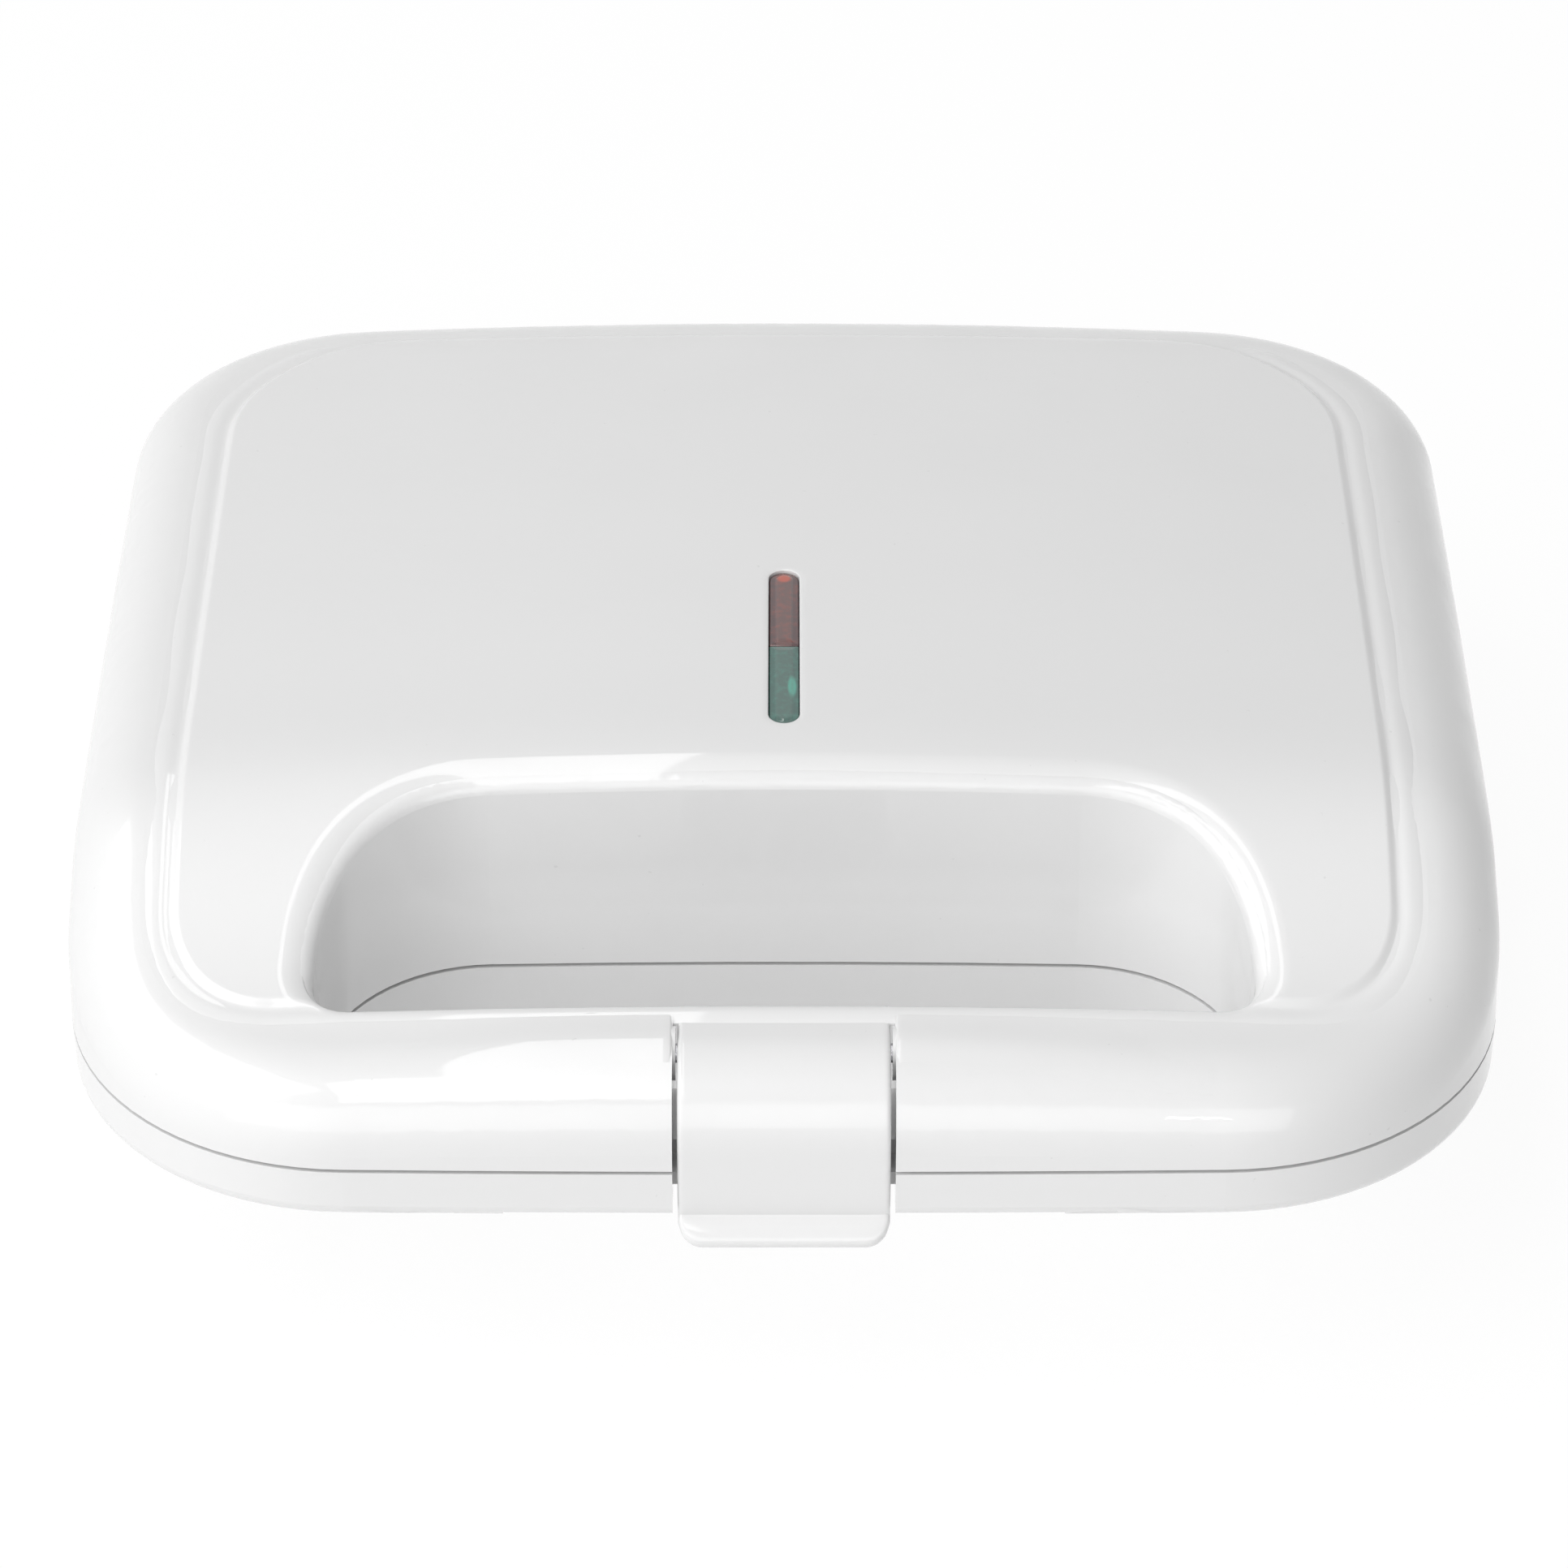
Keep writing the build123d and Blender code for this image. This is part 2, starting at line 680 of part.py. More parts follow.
# Lenses, their lamps and the holder under them
for name, turn in (("ready_lens", -1), ("power_lens", 1)):
    with BuildPart() as lens:
        add(pill(lens_bottom, lid_height, 0))
        add(lid_form(0.2, -lens_sink), mode=Mode.INTERSECT)
        with BuildPart(mode=Mode.PRIVATE) as flange:
            add(pill(lens_bottom, lid_height, lens_flange))
            add(lid_form(wall, -wall - 0.1), mode=Mode.INTERSECT)
        add(flange.part)
        with BuildSketch(Plane.XY.offset(lens_bottom)):
            with Locations((0, lens_y + turn * (lens_length / 2 + running_clearance))):
                Rectangle(4 * lens_width, lens_length)
        extrude(amount=lid_height, mode=Mode.INTERSECT)
    lens.part.label = name
    export_step(lens.part, "parts/" + name + ".step")
    print(name, lens.part.is_valid, len(lens.part.solids()), lens.part.bounding_box())

holder_floor = lens_bottom - holder_height
with BuildPart() as lamp_holder:
    with BuildSketch(Plane.XY.offset(holder_floor)):
        with Locations((0, lens_y)):
            Rectangle(holder_width, holder_length)
    extrude(amount=holder_height)
    chamber = (holder_length - 3 * holder_wall) / 2
    with BuildSketch(Plane.XY.offset(holder_floor + holder_wall)):
        with Locations((0, lens_y)):
            with GridLocations(0, chamber + holder_wall, 1, 2):
                Rectangle(holder_width - 2 * holder_wall, chamber)
    extrude(amount=holder_height, mode=Mode.SUBTRACT)
    with BuildSketch(Plane.XY.offset(lens_bottom - ear_drop - ear_thickness)):
        with Locations((0, lens_y)):
            with GridLocations(0, holder_length + ear_length, 1, 2):
                Rectangle(holder_width, ear_length)
    extrude(amount=ear_thickness)
lamp_holder.part.label = "lamp_holder"
export_step(lamp_holder.part, "parts/lamp_holder.step")

for name, turn in (("ready_lamp", -1), ("power_lamp", 1)):
    lamp_y = lens_y + turn * (chamber + holder_wall) / 2
    lamp_z = holder_floor + holder_wall + lamp_radius + 0.1
    with BuildPart() as lamp:
        with BuildSketch(Plane(origin=(0, lamp_y - lamp_length / 2, lamp_z), z_dir=(0, 1, 0))):
            Circle(lamp_radius)
        extrude(amount=lamp_length)
        fillet(lamp.edges().filter_by(GeomType.CIRCLE), lamp_radius * 0.6)
    lamp.part.label = name
    export_step(lamp.part, "parts/" + name + ".step")

# Thermostat under the lower plate, thermal fuse on the upper plate
strip_y = (pocket_y + pocket_length / 2 + plate_skin + plate_y + plate_depth / 2) / 2
with BuildPart() as thermostat:
    with BuildSketch(Plane.XY.offset(base_seam - plate_flange)):
        with Locations((0, strip_y)):
            Circle(thermostat_radius)
    extrude(amount=-thermostat_height)
    with BuildSketch(Plane.XY.offset(base_seam - plate_flange - thermostat_height)):
        with Locations((0, strip_y)):
            with GridLocations(7, 0, 2, 1):
                Rectangle(0.8, 5)
    extrude(amount=-5)
thermostat.part.label = "thermostat"
export_step(thermostat.part, "parts/thermostat.step")

with BuildPart() as thermal_fuse:
    with BuildSketch(Plane.YZ.offset(-fuse_length / 2)):
        with Locations((strip_y, lid_seam + plate_flange + fuse_radius + 0.1)):
            Circle(fuse_radius)
    extrude(amount=fuse_length)
thermal_fuse.part.label = "thermal_fuse"
export_step(thermal_fuse.part, "parts/thermal_fuse.step")

# Terminal block on the floor and the bush that a cord would come out of
with BuildPart() as terminal_block:
    with BuildSketch(Plane.XY.offset(foot_height + wall)):
        with Locations((gland_x - 30, rear_y - 38)):
            Rectangle(block_length, block_width)
    extrude(amount=block_height)
    fillet(terminal_block.edges().filter_by(Axis.Z), 1.5)
terminal_block.part.label = "terminal_block"
export_step(terminal_block.part, "parts/terminal_block.step")

with BuildPart() as cord_gland:
    with BuildSketch(gland_plane):
        Circle(gland_flange)
        Circle(gland_bore, mode=Mode.SUBTRACT)
    extrude(amount=2.5)
    with BuildSketch(gland_plane):
        Circle(gland_radius)
        Circle(gland_bore, mode=Mode.SUBTRACT)
    extrude(amount=-gland_boss - 3)
    fillet(cord_gland.edges().filter_by(GeomType.CIRCLE).sort_by(Axis.Y)[-1], 1.0)
cord_gland.part.label = "cord_gland"
export_step(cord_gland.part, "parts/cord_gland.step")

# Rubber feet, pressed into their seats in the floor
for place, name in zip(foot_places(), ("front_left", "front_right", "rear_left", "rear_right")):
    with BuildPart() as foot:
        with BuildSketch(Plane.XY.offset(foot_height + foot_seat)):
            with Locations(place):
                Circle(foot_radius)
        extrude(amount=-foot_height - foot_seat, taper=4)
        fillet(foot.faces().sort_by(Axis.Z)[0].edges(), 1.0)
    foot.part.label = "foot_" + name
    export_step(foot.part, "parts/foot_" + name + ".step")
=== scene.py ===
"""Looks of a white sandwich maker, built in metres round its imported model."""

from __future__ import annotations

import logging
import math
from dataclasses import dataclass, field
from enum import Enum
from typing import Any

import bmesh
import bpy
import numpy as np
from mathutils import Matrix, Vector
from mathutils.bvhtree import BVHTree
from mathutils.geometry import delaunay_2d_cdt


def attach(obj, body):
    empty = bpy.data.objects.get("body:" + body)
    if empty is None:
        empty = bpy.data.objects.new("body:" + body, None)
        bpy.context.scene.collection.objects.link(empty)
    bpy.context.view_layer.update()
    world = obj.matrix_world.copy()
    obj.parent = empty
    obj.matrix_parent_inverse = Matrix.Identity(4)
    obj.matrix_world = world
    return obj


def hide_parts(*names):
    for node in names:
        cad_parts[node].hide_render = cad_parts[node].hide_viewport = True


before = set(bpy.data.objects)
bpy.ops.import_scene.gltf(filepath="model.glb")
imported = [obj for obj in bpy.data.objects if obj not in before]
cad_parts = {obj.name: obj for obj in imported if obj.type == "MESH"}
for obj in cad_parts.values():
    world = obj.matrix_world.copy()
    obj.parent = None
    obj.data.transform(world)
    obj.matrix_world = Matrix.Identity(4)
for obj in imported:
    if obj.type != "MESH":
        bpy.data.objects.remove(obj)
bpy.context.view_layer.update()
LOG = logging.getLogger("sandwich_maker")
MM = 0.001
TINY = 1e-12
HIGH_ABOVE = 0.2
ALMOST_ALL = 0.999
LID_FRONT = -108.15 * MM
LID_CROWN_RADIUS = 2.0

Point2 = tuple[float, float]
Point3 = tuple[float, float, float]
Colour = tuple[float, float, float]
Loop = list[Point2]
Material = bpy.types.Material


class Body(Enum):
    """Rigid bodies that new pieces ride on."""

    LID = "lid"
    LATCH = "latch"


class Slot(Enum):
    """Material slots of the record, named for the new pieces but not given to them in this script.
    """

    HOUSING = "white_housing"
    LATCH = "white_latch"
    RED_LENS = "red_lens"
    GREEN_LENS = "green_lens"


class Wire:
    """A node's output socket, with arithmetic that adds Math nodes."""

    def __init__(self, nodes: Nodes, made: bpy.types.Node, output: int | str) -> None:
        """Keeps the node's socket and the tree it belongs to.

        Args:
            nodes: The tree in the making.
            made: The node.
            output: Socket that the result leaves by, if the node has any.
        """
        self.nodes = nodes
        self.made = made
        self.socket = made.outputs[output] if len(made.outputs) else None

    def _math(self, operation: str, *values: Any) -> Wire:
        """Adds one Math node.

        Args:
            operation: Name of the operation.
            values: Wires or numbers, one for each socket.

        Returns:
            The node's value.
        """
        inputs = dict(enumerate(values))
        return self.nodes.node("ShaderNodeMath", {"operation": operation}, inputs)

    def __add__(self, other: Any) -> Wire:
        """Sum."""
        return self._math("ADD", self, other)

    __radd__ = __add__

    def __sub__(self, other: Any) -> Wire:
        """Difference."""
        return self._math("SUBTRACT", self, other)

    def __rsub__(self, other: Any) -> Wire:
        """Difference from a number."""
        return self._math("SUBTRACT", other, self)

    def __mul__(self, other: Any) -> Wire:
        """Product."""
        return self._math("MULTIPLY", self, other)

    __rmul__ = __mul__

    def __abs__(self) -> Wire:
        """Value without its sign."""
        return self._math("ABSOLUTE", self)

    def or_else(self, other: Any) -> Wire:
        """The larger of two values."""
        return self._math("MAXIMUM", self, other)

    def over(self, low: float, high: float) -> Wire:
        """Smooth mask of where the value lies between two limits.

        Args:
            low: Value that gives 0.
            high: Value that gives 1.

        Returns:
            A value from 0 to 1.
        """
        settings = {"interpolation_type": "SMOOTHSTEP"}
        return self.nodes.node("ShaderNodeMapRange", settings, {0: self, 1: low, 2: high})


class Nodes:
    """A node tree in the making."""

    def __init__(self, tree: bpy.types.NodeTree) -> None:
        """Empties the tree."""
        self.tree = tree
        self.tree.nodes.clear()

    def feed(self, socket: bpy.types.NodeSocket, value: Any) -> None:
        """Links a wire to a socket, or writes a constant on it.

        Args:
            socket: The input socket.
            value: A wire, a number or a tuple.
        """
        if isinstance(value, Wire):
            self.tree.links.new(value.socket, socket)
        elif socket.type == "RGBA" and len(value) == 3:
            socket.default_value = (*value, 1.0)
        else:
            socket.default_value = value

    def node(
        self,
        kind: str,
        settings: dict[str, Any] | None = None,
        inputs: dict[Any, Any] | None = None,
        output: int | str = 0,
    ) -> Wire:
        """Adds any node.

        Args:
            kind: The node's type.
            settings: Attributes of the node, set first.
            inputs: Values or wires by socket name or number.
            output: Socket that the result leaves by.

        Returns:
            The node's value.
        """
        made = self.tree.nodes.new(kind)
        for key, value in (settings or {}).items():
            setattr(made, key, value)
        for key, value in (inputs or {}).items():
            self.feed(made.inputs[key], value)
        return Wire(self, made, output)

    def seen_directly(self) -> Wire:
        """Mask of the rays that show the background: seen, mirrored or through glass.

        Returns:
            1 for such a ray and 0 for one that brings light.
        """
        seen = self.node("ShaderNodeLightPath", output="Is Camera Ray")
        for name in ("Is Glossy Ray", "Is Transmission Ray"):
            seen = seen.or_else(self.node("ShaderNodeLightPath", output=name))
        return seen


class Shader(Nodes):
    """A material in the making, round one Principled shader."""

    def __init__(self, name: str) -> None:
        """Starts an empty material.

        Args:
            name: The material's name.
        """
        self.material = bpy.data.materials.new(name)
        self.material.use_nodes = True
        super().__init__(self.material.node_tree)
        self.principled = self.node("ShaderNodeBsdfPrincipled")
        self.output = self.node("ShaderNodeOutputMaterial", {}, {"Surface": self.principled})

    def set(self, **values: Any) -> None:
        """Feeds the Principled shader's sockets, named with underscores for spaces."""
        for name, value in values.items():
            self.feed(self.principled.made.inputs[name.replace("_", " ")], value)

    def place(self) -> Wire:
        """Position in the frame, in metres."""
        return self.node("ShaderNodeTexCoord", output="Object")

    def noise(self, scale: float, detail: float = 2.0, place: Wire | None = None) -> Wire:
        """Noise value over the surface.

        Args:
            scale: Spots per metre.
            detail: Number of finer layers.
            place: Other coordinates than the frame's.

        Returns:
            A value about 0.5.
        """
        inputs = {"Vector": place or self.place(), "Scale": scale, "Detail": detail}
        return self.node("ShaderNodeTexNoise", {}, inputs, "Fac")

    def blend(self, factor: Any, first: Any, second: Any) -> Wire:
        """Mixes two colours.

        Args:
            factor: Share of the second colour.
            first: Colour or wire.
            second: Colour or wire.

        Returns:
            The mixed colour.
        """
        return self.node(
            "ShaderNodeMix", {"data_type": "RGBA"}, {0: factor, 6: first, 7: second}, 2
        )

    def bump(self, height: Wire, depth: float, below: Wire | None = None) -> Wire:
        """Bump from a height.

        Args:
            height: Value of the height, from 0 to 1.
            depth: Its depth in metres.
            below: Normal that it is laid on.

        Returns:
            The bumped normal.
        """
        inputs: dict[str, Any] = {"Height": height, "Distance": depth, "Strength": 1.0}
        if below:
            inputs["Normal"] = below
        return self.node("ShaderNodeBump", {}, inputs, "Normal")


def shade(colour: Colour, factor: float) -> Colour:
    """Lightens or darkens a colour.

    Args:
        colour: Linear colour.
        factor: What it is multiplied by.

    Returns:
        The new colour.
    """
    return tuple(min(1.0, part * factor) for part in colour)


@dataclass(frozen=True)
class MouldedPlastic:
    """Glossy moulded plastic with a faint flow in its surface and dull rubbed patches."""

    name: str
    colour: Colour = (0.8, 0.8, 0.8)
    gloss_roughness: float = 0.3
    flow_scale: float = 26.0
    flow_depth: float = 0.00009
    grain_scale: float = 2600.0
    grain_depth: float = 0.0000015
    cloud_scale: float = 9.0
    rubbed_scale: float = 60.0
    rubbed_limits: Point2 = (0.42, 0.68)
    rubbed_roughness: float = 0.06
    speck_scale: float = 900.0
    speck_limits: Point2 = (0.79, 0.83)
    speck_share: float = 0.25
    coat: float = 0.9
    coat_loss: float = 0.15
    coat_roughness: float = 0.03

    def make(self) -> Material:
        """Builds the material.

        Returns:
            The new material.
        """
        shader = Shader(self.name)
        cloud = shader.noise(self.cloud_scale, 3.0)
        rubbed = shader.noise(self.rubbed_scale, 4.0).over(*self.rubbed_limits)
        speck = shader.noise(self.speck_scale, 1.0).over(*self.speck_limits)
        tint = shader.blend(cloud.over(0.3, 0.7), shade(self.colour, 0.985), self.colour)
        flow = shader.bump(shader.noise(self.flow_scale, 1.0), self.flow_depth)
        grain = shader.bump(shader.noise(self.grain_scale, 2.0), self.grain_depth, flow)
        shader.set(
            Base_Color=shader.blend(speck * self.speck_share, tint, shade(self.colour, 0.6)),
            Roughness=rubbed * self.rubbed_roughness + (cloud * 0.04 + self.gloss_roughness),
            Normal=grain,
            IOR=1.5,
            Coat_Weight=rubbed * -self.coat_loss + self.coat,
            Coat_Roughness=self.coat_roughness,
        )
        return shader.material


@dataclass(frozen=True)
class MattPlastic:
    """Matt moulded plastic or rubber with a fine grain."""

    name: str
    colour: Colour
    roughness: float = 0.6
    grain_scale: float = 1800.0
    grain_depth: float = 0.00002
    cloud_scale: float = 70.0

    def make(self) -> Material:
        """Builds the material.

        Returns:
            The new material.
        """
        shader = Shader(self.name)
        cloud = shader.noise(self.cloud_scale, 4.0)
        grain = shader.noise(self.grain_scale, 3.0)
        shader.set(
            Base_Color=shader.blend(cloud, shade(self.colour, 0.85), shade(self.colour, 1.1)),
            Roughness=cloud * 0.16 + (self.roughness - 0.08),
            Normal=shader.bump(grain, self.grain_depth),
        )
        return shader.material


@dataclass(frozen=True)
class NonStickCoating:
    """Dark satin coating with fine flecks over a cast surface."""

    name: str
    colour: Colour = (0.035, 0.035, 0.037)
    fleck: Colour = (0.16, 0.16, 0.16)
    fleck_scale: float = 1500.0
    fleck_limits: Point2 = (0.66, 0.72)
    fleck_share: float = 0.5
    cast_scale: float = 420.0
    cast_depth: float = 0.00006
    wear_scale: float = 38.0
    wear_limits: Point2 = (0.45, 0.7)
    satin_roughness: float = 0.3

    def make(self) -> Material:
        """Builds the material.

        Returns:
            The new material.
        """
        shader = Shader(self.name)
        flecks = shader.noise(self.fleck_scale, 2.0).over(*self.fleck_limits)
        cast = shader.noise(self.cast_scale, 4.0)
        wear = shader.noise(self.wear_scale, 5.0).over(*self.wear_limits)
        dark = shader.blend(wear, self.colour, shade(self.colour, 1.5))
        shader.set(
            Base_Color=shader.blend(flecks * self.fleck_share, dark, self.fleck),
            Roughness=wear * 0.12 + (cast * 0.1 + self.satin_roughness),
            Normal=shader.bump(cast, self.cast_depth),
            IOR=1.45,
        )
        return shader.material


@dataclass(frozen=True)
class BareMetal:
    """Rolled, drawn or plated metal with streaks along one axis."""

    name: str
    colour: Colour
    roughness: float = 0.3
    streaks: Point3 = (1.0, 1.0, 1.0)
    tarnish: Colour = (0.25, 0.2, 0.16)
    tarnish_share: float = 0.15
    line_scale: float = 900.0
    line_depth: float = 0.000015
    stain_scale: float = 90.0
    stain_limits: Point2 = (0.5, 0.75)

    def make(self) -> Material:
        """Builds the material.

        Returns:
            The new material.
        """
        shader = Shader(self.name)
        settings = {"operation": "MULTIPLY"}
        along = shader.node("ShaderNodeVectorMath", settings, {0: shader.place(), 1: self.streaks})
        lines = shader.noise(self.line_scale, 3.0, along)
        stain = shader.noise(self.stain_scale, 5.0).over(*self.stain_limits)
        shader.set(
            Base_Color=shader.blend(stain * self.tarnish_share, self.colour, self.tarnish),
            Roughness=lines * 0.14 + (stain * 0.15 + self.roughness - 0.07),
            Normal=shader.bump(lines, self.line_depth),
            Metallic=1.0,
        )
        return shader.material


@dataclass(frozen=True)
class TintedLens:
    """Clear tinted plastic over a lamp, lighter where the inner facet lies, with a painted
    highlight (the glint) round a fixed point.
    """

    name: str
    rim: Colour
    facet: Colour
    # glint: colour of a painted highlight; glint_place and glint_size give where it is painted and
    # how far it spreads
    glint: Colour
    glint_place: Point3
    glint_size: Point3
    facet_half: float = 1.22 * MM
    facet_fade: float = 0.1 * MM
    facet_share: float = 0.85
    glint_limits: Point2 = (0.45, 1.0)
    glint_share: float = 0.85
    rib_scale: float = 800.0
    rib_limits: Point2 = (0.4, 0.8)
    rib_share: float = 0.25
    rib_depth: float = 0.00001

    def make(self) -> Material:
        """Builds the material.

        Returns:
            The new material.
        """
        shader = Shader(self.name)
        place = shader.place()
        across = shader.node("ShaderNodeSeparateXYZ", {}, {0: place}, 0)
        half, fade = self.facet_half, self.facet_fade
        middle = 1 - abs(across).over(half - fade, half + fade)
        # painted highlight: the colour turns towards the glint colour near glint_place, within
        # glint_size
        kind = "ShaderNodeVectorMath"
        offset = shader.node(kind, {"operation": "SUBTRACT"}, {0: place, 1: self.glint_place})
        scaled = shader.node(kind, {"operation": "DIVIDE"}, {0: offset, 1: self.glint_size})
        far = shader.node(kind, {"operation": "LENGTH"}, {0: scaled}, "Value")
        ribs = shader.noise(self.rib_scale, 2.0)
        body = shader.blend(middle * self.facet_share, self.rim, self.facet)
        near = 1 - far.over(*self.glint_limits)
        lit = shader.blend(near * self.glint_share, body, self.glint)
        # random ribs, tinted towards a darker copy of the painted highlight's colour
        ridge = ribs.over(*self.rib_limits) * self.rib_share
        shader.set(
            Base_Color=shader.blend(ridge, lit, shade(self.glint, 0.8)),
            Roughness=ribs * 0.08 + 0.1,
            Normal=shader.bump(ribs, self.rib_depth),
            IOR=1.58,
            Coat_Weight=0.6,
            Coat_Roughness=0.04,
        )
        return shader.material


@dataclass(frozen=True)
class LampGlass:
    """Small clear glow lamp with a warm tint."""

    name: str
    colour: Colour = (0.95, 0.8, 0.65)
    cloud_scale: float = 300.0

    def make(self) -> Material:
        """Builds the material.

        Returns:
            The new material.
        """
        shader = Shader(self.name)
        cloud = shader.noise(self.cloud_scale, 3.0)
        shader.set(
            Base_Color=shader.blend(cloud, self.colour, shade(self.colour, 0.8)),
            Roughness=cloud * 0.1 + 0.05,
            Transmission_Weight=0.7,
            IOR=1.47,
        )
        return shader.material


def rounded_loop(corners: list[Point3], steps: int) -> Loop:
    """Closed loop with an arc at each corner, anticlockwise as its corners are.

    Args:
        corners: Points with the radius of each.
        steps: Straight pieces in an arc.

    Returns:
        The loop's points.
    """
    points: Loop = []
    count = len(corners)
    for number, (x, y, radius) in enumerate(corners):
        here = Vector((x, y))
        back = (Vector(corners[number - 1][:2]) - here).normalized()
        ahead = (Vector(corners[(number + 1) % count][:2]) - here).normalized()
        half = back.angle(ahead) / 2
        reach = radius / math.tan(half)
        centre = here + (back + ahead).normalized() * radius / math.sin(half)
        start = here + back * reach - centre
        turn = (math.pi - 2 * half) / steps
        for step in range(steps + 1):
            c, s = math.cos(turn * step), math.sin(turn * step)
            points.append(
                (centre.x + c * start.x - s * start.y, centre.y + s * start.x + c * start.y)
            )
    return points


def round_box(side: float, near: float, far: float, radii: Point2, steps: int) -> Loop:
    """Rectangle with round corners, evenly about the middle.

    Args:
        side: Half of its width.
        near: Its near end.
        far: Its far end.
        radii: Radius of the near and of the far corners.
        steps: Straight pieces in an arc.

    Returns:
        The loop's points.
    """
    first, last = radii
    corners = [(-side, near, first), (side, near, first), (side, far, last), (-side, far, last)]
    return rounded_loop(corners, steps)


def resample(loop: Loop, step: float) -> Loop:
    """Adds points on the loop's long stretches.

    Args:
        loop: Closed loop.
        step: Longest stretch that stays.

    Returns:
        The finer loop.
    """
    points: Loop = []
    for (x0, y0), (x1, y1) in zip(loop, loop[1:] + loop[:1]):
        parts = max(1, math.ceil(math.hypot(x1 - x0, y1 - y0) / step))
        points += [(x0 + (x1 - x0) * k / parts, y0 + (y1 - y0) * k / parts) for k in range(parts)]
    return points


def grown(loop: Loop, distance: Any) -> Loop:
    """Moves each point of an anticlockwise loop outwards.

    Args:
        loop: Closed loop.
        distance: How far, or inwards if negative, for all points or for each.

    Returns:
        The moved loop.
    """
    ends = np.array(loop)
    ahead, back = np.roll(ends, -1, 0) - ends, ends - np.roll(ends, 1, 0)
    ahead /= np.maximum(np.linalg.norm(ahead, axis=1, keepdims=True), TINY)
    back /= np.maximum(np.linalg.norm(back, axis=1, keepdims=True), TINY)
    along = ahead + back
    along /= np.maximum(np.linalg.norm(along, axis=1, keepdims=True), TINY)
    miter = 1 / np.maximum(np.sum(along * ahead, axis=1, keepdims=True), 0.4)
    normal = np.stack([along[:, 1], -along[:, 0]], 1) * miter
    return [tuple(point) for point in ends + normal * distance]


def depth_inside(points: np.ndarray, loop: Loop) -> np.ndarray:
    """Signed distance of points to a closed loop, positive inside.

    Args:
        points: Array of points.
        loop: Closed loop.

    Returns:
        One distance for each point.
    """
    start = np.array(loop)
    end = np.roll(start, -1, 0)
    side = end - start
    offset = points[:, None, :] - start[None]
    share = np.clip((offset * side).sum(2) / np.maximum((side**2).sum(1), 1e-18), 0, 1)
    near = np.linalg.norm(offset - share[..., None] * side, axis=2).min(1)
    x, y = points[:, :1], points[:, 1:]
    spans = (start[:, 1] > y) != (end[:, 1] > y)
    rise = np.where(side[:, 1] == 0, TINY, side[:, 1])
    crosses = spans & (x < start[:, 0] + (y - start[:, 1]) * side[:, 0] / rise)
    return np.where(crosses.sum(1) % 2 == 1, near, -near)


def smooth(value: np.ndarray) -> np.ndarray:
    """Smooth rise from 0 to 1."""
    clipped = np.clip(value, 0, 1)
    return clipped * clipped * (3 - 2 * clipped)


def packed_heights(across: float, backs: np.ndarray) -> list[float]:
    """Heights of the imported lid's top along a line from front to back.

    Args:
        across: Distance of the line from the middle.
        backs: Distances behind the lid's front.

    Returns:
        One height for each distance.
    """
    tree = BVHTree.FromObject(
        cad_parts["upper_housing"], bpy.context.evaluated_depsgraph_get()
    )
    down = Vector((0, 0, -1))
    return [
        tree.ray_cast(Vector((across, LID_FRONT + back, HIGH_ABOVE)), down)[0].z for back in backs
    ]


def add_mesh(name: str, points: list, faces: list, finish: Material) -> bpy.types.Object:
    """Adds a smooth-shaded mesh with all its faces turned outwards.

    Args:
        name: The piece's name.
        points: Its vertices.
        faces: Its faces.
        finish: Its material.

    Returns:
        The new object.
    """
    mesh = bpy.data.meshes.new(name)
    mesh.from_pydata([tuple(map(float, point)) for point in points], [], faces)
    shape = bmesh.new()
    shape.from_mesh(mesh)
    bmesh.ops.remove_doubles(shape, verts=shape.verts, dist=1e-7)
    bmesh.ops.recalc_face_normals(shape, faces=shape.faces)
    shape.to_mesh(mesh)
    shape.free()
    mesh.shade_smooth()
    mesh.set_sharp_from_angle(angle=math.radians(38))
    mesh.materials.append(finish)
    made = bpy.data.objects.new(name, mesh)
    bpy.context.scene.collection.objects.link(made)
    return made


def stack(rings: list[list[Point3]]) -> tuple[list, list]:
    """Closed skin through rings of equal count, with flat ends.

    Args:
        rings: Rings of points, from one end to the other.

    Returns:
        Points and faces.
    """
    count = len(rings[0])
    points = [point for ring in rings for point in ring]
    faces: list[tuple[int, ...]] = []
    for level in range(len(rings) - 1):
        low, high = level * count, (level + 1) * count
        for k in range(count):
            after = (k + 1) % count
            faces.append((low + k, low + after, high + after, high + k))
    faces.append(tuple(range(count)))
    faces.append(tuple(range(len(points) - count, len(points))))
    return points, faces


@dataclass
class LidSurface:
    """Smooth top surface of the lid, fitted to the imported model."""

    sample_x: float = 88.0 * MM
    back_from: float = 16.5 * MM
    back_to: float = 192.0 * MM
    samples: int = 160
    degree: int = 13

    def __post_init__(self) -> None:
        """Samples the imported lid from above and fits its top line."""
        backs = np.linspace(self.back_from, self.back_to, self.samples)
        heights = packed_heights(self.sample_x, backs)
        reach = [math.hypot(height + LID_CROWN_RADIUS, self.sample_x) for height in heights]
        self.line = np.polynomial.Chebyshev.fit(backs, reach, self.degree)

    def height(self, x: np.ndarray, y: np.ndarray) -> np.ndarray:
        """Height of the surface at points of the plan."""
        radius = self.line(np.asarray(y) - LID_FRONT)
        return np.sqrt(radius**2 - np.asarray(x) ** 2) - LID_CROWN_RADIUS


